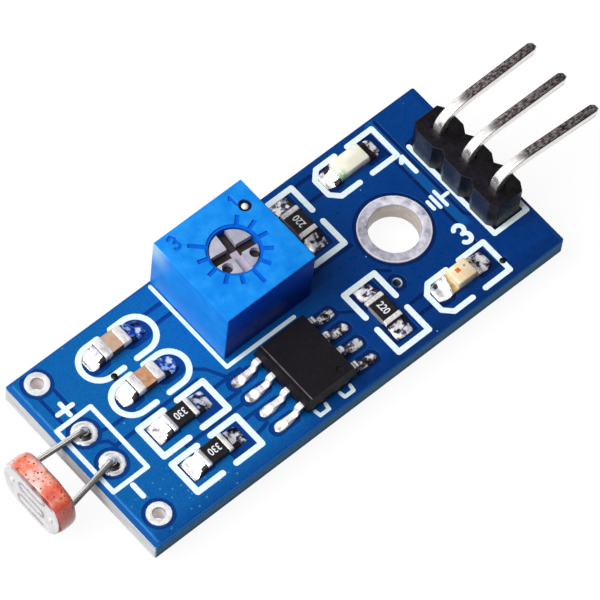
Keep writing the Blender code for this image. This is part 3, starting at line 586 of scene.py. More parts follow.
def trimmer_blue():
    look = Look("trimmer_blue", specular=0.07)
    cloud = look.noise(1.2, 5.0, 0.6)
    colour = look.ramp(cloud, (0.3, 14, 130, 232), (0.5, 24, 142, 241), (0.72, 40, 155, 247))
    grain = look.spread(look.noise(16.0, 2.0), 0.62, 0.8)
    colour = look.mix(grain, colour, (70, 168, 246))
    top = BOARD_TOP + TRIMMER_TOP
    # Painted shade on the front side, darker towards the bottom.
    shaded = look.below(look.normal(1), -0.9)
    colour = look.mix(shaded, colour, look.ramp(look.z(3.4, 6.6), (0.0, 4, 44, 150), (1.0, 4, 82, 224)))
    # A painted glare on the left side near its far top corner.
    corner = look.both(look.y(5.0, 6.8), look.z(top - 2.6, top - 0.4))
    corner = look.both(corner, look.below(look.normal(0), -0.5))
    colour = look.mix(corner, colour, (176, 218, 248))
    # Painted shade on the floors of the sunk scale, which are darker than the top.
    sunk = look.z(top - 0.08, top - 0.02, 0.75, 0.0)
    inside = look.either(
        *(look.size(look.maths("SUBTRACT", look.axis(i), TRIMMER_MIDDLE[i])) for i in (0, 1))
    )
    sunk = look.both(sunk, look.fall(inside, 3.2, 3.26))
    look.colour(look.mix(sunk, colour, (0, 84, 204)))
    look.rough(cloud, 0.34, 0.48)
    look.bump(look.noise(8.0, 4.0, 0.6), 0.3, 0.02)


def rotor_plastic():
    look = Look("rotor_plastic", specular=0.5)
    cloud = look.noise(1.8, 4.0)
    colour = look.ramp(cloud, (0.3, 164, 165, 182), (0.7, 190, 190, 206))
    top = BOARD_TOP + ROTOR_TOP
    shallow = look.z(top - 0.3, top - 0.05, 0.6, 0.0)
    colour = look.mix(shallow, colour, (186, 172, 194))
    # Painted shade on the slots' floors.
    sunk = look.z(top - 0.46, top - 0.36, 1.0, 0.0)
    look.colour(look.mix(sunk, colour, (44, 32, 34)))
    look.rough(cloud, 0.32, 0.5)
    look.bump(look.noise(9.0, 3.0), 0.3, 0.02)


def chip_epoxy():
    look = Look("chip_epoxy", specular=0.18)
    cloud = look.noise(5.0, 6.0, 0.7)
    colour = look.ramp(cloud, (0.3, 8, 6, 11), (0.55, 15, 12, 18), (0.8, 30, 26, 34))
    # A painted highlight along the top's left edge.
    edge = look.both(look.x(-4.4, -4.37), look.x(-4.32, -4.29, 1.0, 0.0))
    edge = look.both(edge, look.above(look.normal(2), 0.9))
    edge = look.both(edge, look.spread(look.noise(2.0, 2.0), 0.3, 0.6, 0.45, 1.0))
    look.colour(look.mix(edge, colour, (112, 108, 114)))
    look.rough(cloud, 0.42, 0.6)
    look.bump(look.noise(18.0, 4.0), 0.4, 0.02)


def resistor_black():
    look = Look("resistor_black", specular=0.35)
    cloud = look.noise(6.0, 4.0)
    colour = look.ramp(cloud, (0.3, 10, 8, 10), (0.7, 26, 21, 24))
    ceramic = look.ramp(cloud, (0.3, 128, 124, 122), (0.7, 190, 186, 182))
    # The faces towards the left show the pale ceramic; the other sides stay black as painted shade.
    look.colour(look.mix(look.below(look.normal(0), -0.8), colour, ceramic))
    look.rough(cloud, 0.3, 0.5)
    look.bump(look.noise(11.0, 3.0), 0.3, 0.02)


def capacitor_tan():
    look = Look("capacitor_tan", specular=0.5)
    cloud = look.noise(3.0, 4.0)
    colour = look.ramp(cloud, (0.3, 178, 120, 84), (0.5, 198, 148, 112), (0.75, 212, 170, 140))
    colour = look.mix(look.y(3.0, 3.6, 0.0, 0.5), colour, (204, 184, 168))
    # Painted shade on the front side.
    shaded = look.below(look.normal(1), -0.8)
    look.colour(look.mix(shaded, colour, (70, 38, 26)))
    look.rough(cloud, 0.35, 0.5)
    look.bump(look.noise(10.0, 3.0), 0.25, 0.02)


def cell_red():
    look = Look("cell_red", specular=0.6, coat=0.6, coat_roughness=0.12)
    patch = look.noise(0.75, 4.0, 0.6)
    patch = look.maths("ADD", patch, look.y(-2.8, 0.0, 0.07, 0.0))
    colour = look.ramp(
        patch, (0.4, 252, 210, 200), (0.49, 248, 172, 156), (0.56, 244, 122, 88), (0.66, 228, 84, 62),
    )
    # Rare dark dots in the coat.
    dots = look.fall(look.cells(3.8), 0.2, 0.3)
    rare = look.spread(look.noise(1.6, 2.0), 0.4, 0.48)
    colour = look.mix(look.both(dots, rare), colour, (128, 38, 32))
    # Painted shade on the rim round the face, strongest at its near end.
    rim = look.both(look.below(look.normal(0), -0.35), look.y(-0.6, 1.6, 0.95, 0.5))
    rim = look.both(rim, look.spread(look.noise(1.4, 2.0), 0.3, 0.7, 0.6, 1.0))
    colour = look.mix(rim, colour, (116, 18, 20))
    # Painted light on the coat's near end.
    painted_light = look.both(look.y(-2.3, -0.9, 1.0, 0.0), look.x(-20.6, -20.2, 1.0, 0.0))
    colour = look.mix(look.both(painted_light, 0.7), colour, (246, 104, 94))
    look.colour(colour)
    plain = look.maths("SUBTRACT", 1.0, rim)
    look.set("Coat Weight", look.both(plain, 0.6))
    look.set("Specular IOR Level", look.both(plain, 0.6))
    look.set("Roughness", 0.32)
    look.bump(look.noise(1.8, 4.0), 0.5, 0.08)


def plain_look(name, cloud, *stops, bump=None, roughness=0.5, **how):
    """A material of one clouded colour. The cloud and the bump's pattern are what noise takes."""
    look = Look(name, roughness, **how)
    look.colour(look.ramp(look.noise(*cloud), *stops))
    if bump:
        pattern, strength, depth = bump
        look.bump(look.noise(*pattern), strength, depth)
    return look


def plain_looks():
    bump = ((14.0,), 0.35, 0.01)
    plain_look(
        "ink_white", (6.0,), (0.25, 222, 242, 250), (0.5, 238, 253, 255), (0.8, 246, 255, 255),
        bump=bump,
    )
    bump = ((9.0, 2.0), 0.3, 0.01)
    plain_look(
        "ink_code", (9.0, 2.0), (0.3, 232, 233, 238), (0.7, 254, 254, 255), bump=bump, roughness=0.45,
    )
    # Painted shade for the solder by the metal ends.
    plain_look("solder_shade", (3.0,), (0.3, 14, 10, 12), (0.7, 60, 48, 50), roughness=0.3, specular=0.15)
    plain_look(
        "gate_glint", (5.0,), (0.3, 236, 242, 250), (0.7, 252, 253, 255), roughness=0.16, metallic=0.2,
    )
    plain_look("die_orange", (6.0,), (0.3, 214, 84, 30), (0.7, 238, 128, 62), roughness=0.35)
    plain_look("die_dark", (6.0,), (0.3, 150, 112, 60), (0.7, 186, 150, 92), roughness=0.35)
    plain_look("via_dark", (6.0,), (0.3, 3, 4, 8), (0.7, 12, 15, 24), roughness=0.4, specular=0.3)
    bump = ((2.6, 4.0), 0.3, 0.03)
    stops = ((0.3, 134, 110, 58), (0.55, 182, 158, 104), (0.8, 222, 206, 168))
    plain_look("diode_base", (2.6, 4.0), *stops, bump=bump, roughness=0.4)
    bump = ((8.0,), 0.3, 0.02)
    plain_look(
        "element_ceramic", (3.0,), (0.3, 206, 202, 192), (0.7, 232, 229, 220), bump=bump, roughness=0.6,
    )
    look = plain_look("wiper_metal", (4.0,), (0.3, 196, 178, 130), (0.7, 226, 208, 162), metallic=1.0)
    look.rough(look.noise(6.0), 0.25, 0.4)


def cell_looks():
    glaze = {"specular": 0.6, "coat": 0.5}
    bump = ((4.0, 3.0), 0.3, 0.03)
    stops = ((0.3, 222, 217, 220), (0.5, 242, 240, 241), (0.75, 252, 251, 251))
    plain_look("cell_face", (1.6, 4.0), *stops, bump=bump, roughness=0.28, **glaze)
    plain_look("cell_track", (3.0, 4.0), (0.3, 140, 128, 136), (0.7, 204, 196, 204), roughness=0.3, **glaze)


def lens_look(name, cloud, *stops):
    bump = ((5.0,), 0.2, 0.02)
    look = plain_look(name, cloud, *stops, bump=bump, roughness=0.25, specular=0.6, coat=0.4)
    look.set("Subsurface Weight", 0.15)
    look.set("Subsurface Scale", 0.3 * MM)
    return look


def lens_looks():
    lens_look("lens_amber", (1.8, 3.0), (0.3, 246, 214, 160), (0.6, 252, 236, 206))
    stops = ((0.3, 246, 240, 214), (0.6, 254, 252, 240))
    look = lens_look("lens_green", (1.6, 3.0), *stops)
    # Green shows through at the lens's near corner.
    tint = look.both(look.x(7.3, 7.9, 1.0, 0.0), look.y(4.65, 5.1, 1.0, 0.0))
    look.colour(look.mix(tint, look.ramp(look.noise(1.6), *stops), (120, 190, 120)))


# Copies of the solder for ends that face away from the lamps: painted shade with painted glints, and on the
# capacitors' copy a painted reflection of the board's blue.
def shaded_solder(name, *stops):
    look = Look(name, metallic=0.3)
    # Painted shade where the solder meets the board.
    foot = look.z(BOARD_TOP + 0.02, BOARD_TOP + 0.09, 0.9, 0.0)
    look.colour(look.mix(foot, look.ramp(look.noise(2.2), *stops), (20, 28, 58)))
    look.rough(look.noise(3.0), 0.14, 0.3)
    look.bump(look.noise(2.0, 3.0, 0.6), 0.8, 0.1)


def shaded_solders():
    dark, pale = (0.38, 20, 15, 20), (0.58, 254, 253, 254)
    shaded_solder(
        "solder_mottled_shade", dark, (0.43, 70, 66, 92), (0.48, 150, 148, 172), (0.51, 240, 238, 242), pale,
    )
    dark, pale = (0.35, 16, 18, 44), (0.6, 250, 252, 255)
    shaded_solder(
        "solder_blue_reflection", dark, (0.41, 30, 60, 146), (0.51, 84, 122, 208), (0.54, 204, 216, 242), pale,
    )
    dark, pale = (0.42, 16, 13, 19), (0.6, 255, 254, 255)
    shaded_solder(
        "solder_glints", dark, (0.48, 66, 62, 72), (0.52, 150, 146, 154), (0.55, 250, 249, 251), pale,
    )


for make_look in (
    mask_on_copper, mask_on_laminate, via_ring, ring_tin, pad_white, joint_tin, solder_bright,
    cap_silver, leg_shaded, pin_metal, lead_wire, header_black, trimmer_blue, rotor_plastic, chip_epoxy,
    resistor_black, capacitor_tan, cell_red, plain_looks, cell_looks, lens_looks, shaded_solders,
):
    make_look()


# Shapes. Each piece is built on the board in millimetres, and then put in the part's frame.

def to_mesh(name, bm):
    bmesh.ops.recalc_face_normals(bm, faces=bm.faces)
    bm.transform(TO_PART)
    mesh = bpy.data.meshes.new(name)
    bm.to_mesh(mesh)
    bm.free()
    return mesh


def sharpen(mesh, degrees):
    """Smooth shading, with sharp edges from this angle on."""
    mesh.shade_smooth()
    mesh.set_sharp_from_angle(angle=math.radians(degrees))


def dress(name, mesh, material, slot=None, body="module", stands_for=(), sharp=35.0, others=()):
    made = bpy.data.objects.new(name, mesh)
    bpy.context.scene.collection.objects.link(made)
    for one in (material, *others):
        mesh.materials.append(MATERIALS[one])
    sharpen(mesh, sharp)
    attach(made, body)
    if stands_for:
        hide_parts(*stands_for)
    return made


def add_piece(name, bm, material, slot=None, **how):
    bmesh.ops.remove_doubles(bm, verts=bm.verts, dist=1e-5)
    return dress(name, to_mesh(name, bm), material, slot, **how)


def repaint(material, *names):
    """Gives a material to pieces that are shown as they come from the solids."""
    for name in names:
        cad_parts[name].data.materials[0] = MATERIALS[material]


def soften(obj, width, segments=3, degrees=30.0):
    made = obj.modifiers.new("rounded edges", "BEVEL")
    made.width = width * MM
    made.segments = segments
    made.limit_method = "ANGLE"
    made.angle_limit = math.radians(degrees)
    made.harden_normals = False


def smooth(obj):
    made = obj.modifiers.new("smooth", "SUBSURF")
    made.levels = made.render_levels = 2


def prism(bm, loop, low, high):
    """Adds a plate between two heights, from its outline."""
    bottom = [bm.verts.new((x, y, low)) for x, y in loop]
    top = [bm.verts.new((x, y, high)) for x, y in loop]
    bm.faces.new(bottom[::-1])
    bm.faces.new(top)
    for i in range(len(loop)):
        j = (i + 1) % len(loop)
        bm.faces.new((bottom[i], bottom[j], top[j], top[i]))


def plate(loop, low, high):
    bm = bmesh.new()
    prism(bm, loop, low, high)
    return bm


def loft(rings):
    """Skin over rings of as many points each, with a face over each end."""
    bm = bmesh.new()
    made = [[bm.verts.new(p) for p in ring] for ring in rings]
    count = len(rings[0])
    for a, b in zip(made, made[1:]):
        for i in range(count):
            j = (i + 1) % count
            bm.faces.new((a[i], a[j], b[j], b[i]))
    bm.faces.new(made[0][::-1])
    bm.faces.new(made[-1])
    return bm


def lathe(profile, centre, steps):
    """A closed profile of (radius, height) turned round a centre."""
    bm = bmesh.new()
    rings = []
    for i in range(steps):
        a = 2 * math.pi * i / steps
        ring = [(centre[0] + r * math.cos(a), centre[1] + r * math.sin(a), z) for r, z in profile]
        rings.append([bm.verts.new(p) for p in ring])
    for i in range(steps):
        a, b = rings[i], rings[(i + 1) % steps]
        for j in range(len(profile)):
            k = (j + 1) % len(profile)
            bm.faces.new((a[j], b[j], b[k], a[k]))
    return bm


# The radius that closes a lathed profile at its middle.
AXIS = 0.002


def arc(centre, radius, start, end, steps):
    made = []
    for i in range(steps + 1):
        a = math.radians(start + (end - start) * i / steps)
        made.append((centre[0] + radius * math.cos(a), centre[1] + radius * math.sin(a)))
    return made


def circle(centre, radius, steps=32):
    return arc(centre, radius, 0, 360, steps)[:-1]


def rectangle(x0, x1, y0, y1):
    return [(x0, y0), (x1, y0), (x1, y1), (x0, y1)]


def rounded_box_loop(x0, x1, y0, y1, radius, steps=5):
    made = arc((x1 - radius, y1 - radius), radius, 0, 90, steps)
    made += arc((x0 + radius, y1 - radius), radius, 90, 180, steps)
    made += arc((x0 + radius, y0 + radius), radius, 180, 270, steps)
    return made + arc((x1 - radius, y0 + radius), radius, 270, 360, steps)


def stroke_loop(path, width, steps=6):
    """The outline of a line of this width, with round ends and round outer corners."""
    half = width / 2

    def one_side(points):
        made = []
        for i, point in enumerate(points):
            before = (point - points[i - 1]).normalized() if i else None
            after = (points[i + 1] - point).normalized() if i + 1 < len(points) else None
            left = [Vector((-d.y, d.x)) for d in (before, after) if d is not None]
            if len(left) == 1:
                made.append(point + left[0] * half)
                continue
            turn = before.x * after.y - before.y * after.x
            if turn < -1e-6:
                start = math.degrees(math.atan2(left[0].y, left[0].x))
                angle = math.degrees(math.acos(max(-1.0, min(1.0, left[0].dot(left[1])))))
                count = max(1, round(angle / 15))
                made += [Vector(p) for p in arc(point, half, start, start - angle, count)]
            else:
                made.append(point + (left[0] + left[1]) * half / (1 + left[0].dot(left[1])))
        last = (points[-1] - points[-2]).normalized()
        start = math.degrees(math.atan2(last.x, -last.y))
        made += [Vector(p) for p in arc(points[-1], half, start, start - 180, 2 * steps)[1:-1]]
        return made

    forward = [Vector(p) for p in path]
    return [tuple(p) for p in one_side(forward) + one_side(forward[::-1])]


def bracket(end, gap, low, high, corner=0.0, rounded=False, swapped=False):
    """Half of a part's printed outline: from the gap round the end and back."""
    side = 1 if end > gap else -1
    if rounded:
        radius = (high - low) / 2
        bow = arc((end - side * radius, (low + high) / 2), radius, 90, 90 - 180 * side, 18)
    elif corner:
        bow = [
            (end - side * corner, high), (end, high - corner), (end, low + corner),
            (end - side * corner, low),
        ]
    else:
        bow = [(end, high), (end, low)]
    path = [(gap, high), *bow, (gap, low)]
    return [(y, x) for x, y in path] if swapped else path


def hump(x, half, low, high, power, steps=12):
    """A section across a solder joint: a dome on a flat base, squarer with a higher power."""
    made = []
    for i in range(steps + 1):
        c, s = math.cos(math.pi * i / steps), math.sin(math.pi * i / steps)
        y = half * math.copysign(abs(c) ** (2 / power), c)
        made.append((x, y, low + (high - low) * abs(s) ** (2 / power)))
    return made


def bar_rings(path, half, thick, corner, steps, side=1):
    """Rings of a rounded bar along a path of (x, z, size). Side -1 mirrors it."""
    rings = []
    for i, (x, z, size) in enumerate(path):
        before, after = path[max(i - 1, 0)], path[min(i + 1, len(path) - 1)]
        along = Vector((after[0] - before[0], after[1] - before[1])).normalized()
        ring = []
        for cy, cz in rounded_box_loop(-half, half, -thick, thick, corner, steps):
            ring.append((side * (x - along.y * cz * size), cy * size, z + along.x * cz * size))
        rings.append(ring)
    return rings


# The noise starts from the clock unless it is given a start.
noise.seed_set(1)


def roughen(bm, amount, scale, seed, chosen):
    """Moves the chosen points a little, the same way each time."""
    for vert in bm.verts:
        if chosen(vert.co):
            shift = noise.noise_vector(vert.co * scale + Vector((seed * 7.31, seed * 3.17, seed * 5.73)))
            vert.co += shift * amount


def turned_to(bm, centre, turn=0.0):
    bm.transform(Matrix.Translation((*centre, 0.0)) @ Matrix.Rotation(math.radians(turn), 4, "Z"))


def turned(points, centre, degrees):
    c, s = math.cos(math.radians(degrees)), math.sin(math.radians(degrees))
    return [(centre[0] + x * c - y * s, centre[1] + x * s + y * c) for x, y in points]


def loose(name, bm):
    """An object that only serves to cut another."""
    return bpy.data.objects.new(name, to_mesh(name, bm))


def cutters_from(loops, low, high):
    return [loose(f"cutter_{i}", plate(loop, low, high)) for i, loop in enumerate(loops)]


def lathed_cutter(profile, centre, steps):
    return loose("turned_cutter", lathe([(max(r, AXIS), z) for r, z in profile], centre, steps))


def cut_away(obj, cutters):
    """The object's mesh with the cutters taken from it."""
    group = bpy.data.collections.new("cutters")
    bpy.context.scene.collection.children.link(group)
    for cutter in cutters:
        group.objects.link(cutter)
    modifier = obj.modifiers.new("cuts", "BOOLEAN")
    modifier.operation = "DIFFERENCE"
    modifier.solver = "EXACT"
    modifier.operand_type = "COLLECTION"
    modifier.collection = group
    bpy.context.view_layer.update()
    graph = bpy.context.evaluated_depsgraph_get()
    mesh = bpy.data.meshes.new_from_object(obj.evaluated_get(graph))
    obj.modifiers.remove(modifier)
    for cutter in cutters:
        bpy.data.objects.remove(cutter, do_unlink=True)
    bpy.data.collections.remove(group)
    return mesh


# The board: print on mask on copper.

TRACE_GAP = 0.26
SILK_WIDTH = 0.38
UNDERSIDE = -BOARD_THICKNESS

# The gaps round soldered pads, as (left, right, low, high, corner radius) from each of the places.
PAD_GAPS = (
    (((-9.55, 4.85), (-9.55, 1.82)), ((-2.22, -0.55, -0.95, 0.82, 0.5), (0.55, 2.68, -0.98, 0.85, 0.6))),
    (((0, -1.23), (0, -4.27)), ((-11.66, -9.95, -0.78, 0.78, 0.1), (-8.8, -7.08, -1.1, 0.78, 0.1))),
    (((4.42, 4.02), (4.44, -3.55)), ((-0.86, 0.92, 0.55, 2.1, 0.12), (-0.86, 0.92, -2.2, -0.55, 0.12))),
    (((9.5, 5.22), (9.55, -4.75)), ((-2.2, -0.95, -0.95, 0.92, 0.3), (0.95, 2.4, -0.95, 0.92, 0.12))),
    (
        [(0, CHIP_CENTRE[1] + (row - 1.5) * CHIP_LEAD_PITCH) for row in range(4)],
        ((-6.05, -3.9, -0.5, 0.5, 0.45), (0.3, 2.42, -0.54, 0.54, 0.5)),
    ),
    (((0, 0),), ((13.0, 15.75, -3.85, 4.2, 0.3),)),
)

# The gaps beside the traces.
TRACE_GAPS = (
    [(-15.02, 4.9), (-15.02, 2.6)],
    [(-13.98, 4.9), (-13.98, 2.3)],
    [(-13.5, 1.0), (-12.9, 0.85), (-11.2, 0.85)],
    [(-13.6, -0.25), (-11.2, -0.25)],
    [(-14.3, 0.62), (-13.7, 0.25), (-13.55, -0.3)],
    [(-7.2, 5.25), (-4.6, 5.25)],
    [(-7.2, 4.35), (-4.6, 4.35)],
    [(-7.2, 1.05), (-6.2, 0.2), (-5.6, -0.95), (-4.6, -1.05)],
    [(-7.4, -1.05), (-5.6, -1.05)],
    [(-7.4, -2.15), (-5.6, -2.15)],
    [(-10.4, -2.9), (-5.7, -2.9)],
    [(-11.3, -0.02), (-7.0, -0.02)],
    [(-7.4, -3.75), (-5.7, -3.75)],
    [(-7.4, -4.9), (-6.4, -4.9), (-5.7, -4.75)],
    [(11.85, 6.2), (11.85, 2.2)],
    [(11.85, 1.9), (11.85, -3.6)],
    [(12.66, 6.4), (12.66, -1.6), (13.3, -2.4)],
    [(6.05, 6.1), (7.2, 6.1)],
    [(6.05, 4.75), (7.2, 4.75)],
    [(6.0, -1.2), (6.6, -1.75)],
    [(6.1, -4.2), (7.2, -4.2)],
    [(6.1, -5.1), (7.2, -5.1)],
    [(2.3, -1.9), (3.2, -2.5)],
    [(2.5, 0.9), (3.5, 1.0), (6.0, 1.0)],
)

# The traces below the board, which are guessed.
UNDER_TRACE_SHIFT = 0.32
UNDER_TRACE_GAP = 0.2
UNDER_TRACES = (
    [(-14.5, 4.6), (-14.5, 2.7)],
    [(-13.3, 1.5), (-6.0, 1.5), (-3.9, 3.2)],
    [(-13.3, -1.0), (-4.0, -1.0), (-1.6, -0.2)],
    [(0.9, 4.5), (7.2, 3.6), (11.0, 3.0), (13.1, 2.72)],
    [(2.2, -4.6), (9.5, -4.4), (13.2, -2.6)],
)


def gaps_above():
    """Where the copper under the mask is cut away: round each pad and on both sides of each trace."""
    gaps = [circle(MOUNT_CENTRE, 2.54, 64)]
    gaps += [circle(centre, 1.04) for centre in CORNER_PADS]
    gaps += [circle((CELL_PAD_X, y), 1.08) for y in CELL_PAD_Y]
    gaps += [circle(centre, 0.62 if centre == OPEN_VIA else 0.34, 24) for centre in VIAS]
    for places, boxes in PAD_GAPS:
        for x, y in places:
            for left, right, low, high, corner in boxes:
                gaps.append(rounded_box_loop(x + left, x + right, y + low, y + high, corner))
    return gaps + [stroke_loop(path, TRACE_GAP) for path in TRACE_GAPS]


def gaps_below():
    x, y = TRIMMER_CENTRE
    pins = ((x + PITCH, y + PITCH), (x, y - PITCH), (x - PITCH, y + PITCH))
    gaps = [circle(MOUNT_CENTRE, 2.72, 48)]
    gaps += [circle(centre, 1.08, 24) for centre in CORNER_PADS]
    gaps += [circle((CELL_PAD_X, y), 1.12, 24) for y in CELL_PAD_Y]
    gaps += [circle((HEADER_CENTRE[0], y), 1.2, 24) for y in HEADER_PIN_Y]
    gaps += [circle(centre, 1.12, 24) for centre in pins]
    gaps += [circle(centre, 0.5, 20) for centre in VIAS]
    for path in UNDER_TRACES:
        for shift in (-UNDER_TRACE_SHIFT, UNDER_TRACE_SHIFT):
            gaps.append(stroke_loop([(x, y + shift) for x, y in path], UNDER_TRACE_GAP))
    return gaps


def make_copper(name, gaps, low, high):
    half_x, half_y = BOARD_LENGTH / 2 - COPPER_EDGE[0], BOARD_WIDTH / 2 - COPPER_EDGE[1]
    bm = plate(rounded_box_loop(-half_x, half_x, -half_y, half_y, 0.2), low, high)
    blank = loose(name + "_blank", bm)
    bpy.context.scene.collection.objects.link(blank)
    mesh = cut_away(blank, cutters_from(gaps, low - 0.05, high + 0.05))
    bpy.data.objects.remove(blank, do_unlink=True)
    made = dress(name, mesh, "mask_on_copper", "board_blue", sharp=20.0)
    soften(made, 0.04, 1, 50.0)


def make_print(name, paths, width=SILK_WIDTH):
    bm = bmesh.new()
    for i, path in enumerate(paths):
        prism(bm, stroke_loop(path, width), COPPER_TOP - 0.004, INK_TOP + 0.004 * i)
    add_piece(name, bm, "ink_white")


def print_brackets():
    """Two brackets round each of the small chip parts."""
    for number, (low, high) in enumerate(((3.33, 5.78), (0.4, 2.76)), 1):
        paths = [
            bracket(end, gap, low, high, rounded=True) for end, gap in ((-11.99, -9.87), (-6.69, -8.86))
        ]
        make_print(f"print_capacitor_{number}", paths)
    for number, (low, high) in enumerate(((-2.59, -0.28), (-5.59, -3.28)), 1):
        paths = [bracket(end, gap, low, high) for end, gap in ((-11.85, -9.93), (-6.88, -8.86))]
        make_print(f"print_resistor_{number}", paths, 0.4)
    for number, ends in enumerate((((6.2, 4.28), (1.37, 3.3)), ((-1.29, -3.22), (-6.18, -4.26))), 3):
        make_print(
            f"print_resistor_{number}",
            [bracket(end, gap, 3.35, 5.74, swapped=True) for end, gap in ends],
        )
    for number, (low, high) in enumerate(((3.88, 6.21), (-6.24, -3.84)), 1):
        paths = [bracket(7.18, 9.2, low, high, 0.55), bracket(12.19, 10.23, low, high)]
        make_print(f"print_led_{number}", paths, 0.36)


def print_cell():
    """The outline and the signs at the photoresistor's wires."""
    left, right, low, high = -15.64, -13.04, -2.48, 2.64
    middle = (left + right) / 2
    paths = [[(middle, high), (x, high), (x, low), (middle, low)] for x in (right, left)]
    make_print("print_photoresistor", paths, 0.3)
    make_print("print_plus", [[(-14.9, 3.42), (-13.78, 3.42)], [(-14.32, 3.9), (-14.32, 2.98)]], 0.3)
    make_print("print_minus", [[(CELL_PAD_X, -2.84), (CELL_PAD_X, -3.77)]], 0.34)


def print_middle():
    make_print("print_trimmer", [[(-5.16, 6.45), (-5.16, -0.47), (0.1, -0.47)]], 0.26)
    for number, x in enumerate((-2.68, -0.75), 1):
        path = [(x - 0.4, -6.0), (x - 0.34, -6.38), (x + 0.34, -6.38), (x + 0.4, -6.0)]
        make_print(f"print_chip_{number}", [path], 0.24)


def print_header():
    """The header's outline, the sign for ground and the numbers of two pins."""
    make_print("print_header", [[(13.12, 3.85), (13.12, -3.86), (15.72, -3.86), (15.72, -3.1)]], 0.33)
    bars = [[(x, -reach), (x, reach)] for x, reach in ((11.44, 0.3), (11.83, 0.45), (12.23, 0.58))]
    make_print("print_ground", bars + [[(12.23, 0.0), (12.8, 0.0)]], 0.24)
    make_print("print_pin_1", one_path((12.25, 2.95), 1.3), 0.3)
    make_print("print_pin_3", three_paths((11.6, -2.65), 1.3), 0.3)


def one_path(centre, height):
    """A plain 1, as one line."""
    x, y = centre
    half = height / 2
    return [[(x - 0.32 * half, y + 0.55 * half), (x + 0.12 * half, y + half), (x + 0.12 * half, y - half)]]


def three_paths(centre, height):
    """A plain 3, as two bows."""
    x, y = centre
    quarter = height / 4
    return [arc((x, y + quarter), quarter, 150, -90, 16), arc((x, y - quarter), quarter, 90, -150, 16)]


CODE_HEIGHT = 0.5
CODE_WIDTH = 0.82


def make_code(name, text, centre, turn, low, high):
    """Plain digits as thin letters between two heights."""
    curve = bpy.data.curves.new(name, "FONT")
    curve.body = text
    curve.extrude = 0.5
    curve.resolution_u = 4
    curve.offset = 0.012
    shape = bpy.data.objects.new(name + "_text", curve)
    bpy.context.scene.collection.objects.link(shape)
    bpy.context.view_layer.update()
    mesh = bpy.data.meshes.new_from_object(shape.evaluated_get(bpy.context.evaluated_depsgraph_get()))
    bpy.data.objects.remove(shape, do_unlink=True)
    xs = [v.co.x for v in mesh.vertices]
    ys = [v.co.y for v in mesh.vertices]
    scale = (CODE_WIDTH / (max(xs) - min(xs)), CODE_HEIGHT / (max(ys) - min(ys)), high - low, 1.0)
    mesh.transform(
        TO_PART
        @ Matrix.Translation((*centre, (low + high) / 2))
        @ Matrix.Rotation(math.radians(turn), 4, "Z")
        @ Matrix.Diagonal(scale)
        @ Matrix.Translation((-(max(xs) + min(xs)) / 2, -(max(ys) + min(ys)) / 2, 0.0))
    )
    dress(name, mesh, "ink_code")


def make_via(number, centre):
    """A via that the mask covers, or the open one with its bare ring."""
    is_open = centre == OPEN_VIA
    if is_open:
        barrel, rim = 0.28, [(0.35, 0.0), (0.34, 0.05), (0.31, 0.08), (0.27, 0.08), (0.24, 0.04)]
    else:
        barrel, rim = 0.18, [(0.25, 0.0), (0.24, 0.05), (0.19, 0.085), (AXIS, 0.09)]
    lower = [(r, UNDERSIDE - z) for r, z in rim[::-1]]
    bm = lathe([(barrel, UNDERSIDE), (barrel, 0.0)] + rim + lower, centre, 24)
    add_piece(f"via_{number}", bm, "via_ring" if is_open else "via_dark", "tinned_pad")


def make_board():
    repaint("mask_on_laminate", "circuit_board")
    make_copper("copper_top", gaps_above(), -0.01, COPPER_TOP)
    make_copper("copper_bottom", gaps_below(), UNDERSIDE - COPPER_TOP, UNDERSIDE + 0.01)
    print_brackets()
    print_cell()
    print_middle()
    print_header()
    for number, centre in enumerate(VIAS, 1):
        make_via(number, centre)
    bm = lathe([(AXIS, -0.02), (0.16, 0.0), (0.255, 0.045), (0.255, -1.2), (AXIS, -1.2)], OPEN_VIA, 24)
    add_piece("via_plug", bm, "via_dark", "tinned_pad")


def make_ring(name, hole, pad, centre, steps, material, stands_for):
    """A plated hole: a rounded ring on each face and a thin barrel between them."""
    lip = 0.03
    barrel = hole + 0.06
    top = [(hole, PAD_TOP - 2 * lip), (hole + 0.3 * lip, PAD_TOP - lip), (hole + lip, PAD_TOP)]
    top += [(hole + (pad - hole) * s, PAD_TOP + 0.012 * math.sin(math.pi * s)) for s in (0.25, 0.5, 0.75)]
    top += [(pad - lip, PAD_TOP), (pad - 0.3 * lip, PAD_TOP - lip), (pad, PAD_TOP - 2 * lip), (pad, 0.0)]
    bottom = [(r, UNDERSIDE - z) for r, z in top[::-1]]
    bm = lathe(top + [(barrel, 0.0), (barrel, UNDERSIDE)] + bottom, centre, steps)
    add_piece(name, bm, material, "tinned_pad", stands_for=(stands_for,))


def make_plated_holes():
    sizes = (MOUNT_HOLE_RADIUS, MOUNT_PAD_RADIUS)
    make_ring("mounting_ring", *sizes, MOUNT_CENTRE, 96, "ring_tin", "mounting_hole_ring")
    sizes = (CORNER_HOLE_RADIUS, CORNER_PAD_RADIUS)
    for number, centre in enumerate(CORNER_PADS, 1):
        make_ring(f"corner_ring_{number}", *sizes, centre, 40, "pad_white", f"corner_pad_{number}")


# Chip parts and their solder.

BODY_BOTTOM = 0.03


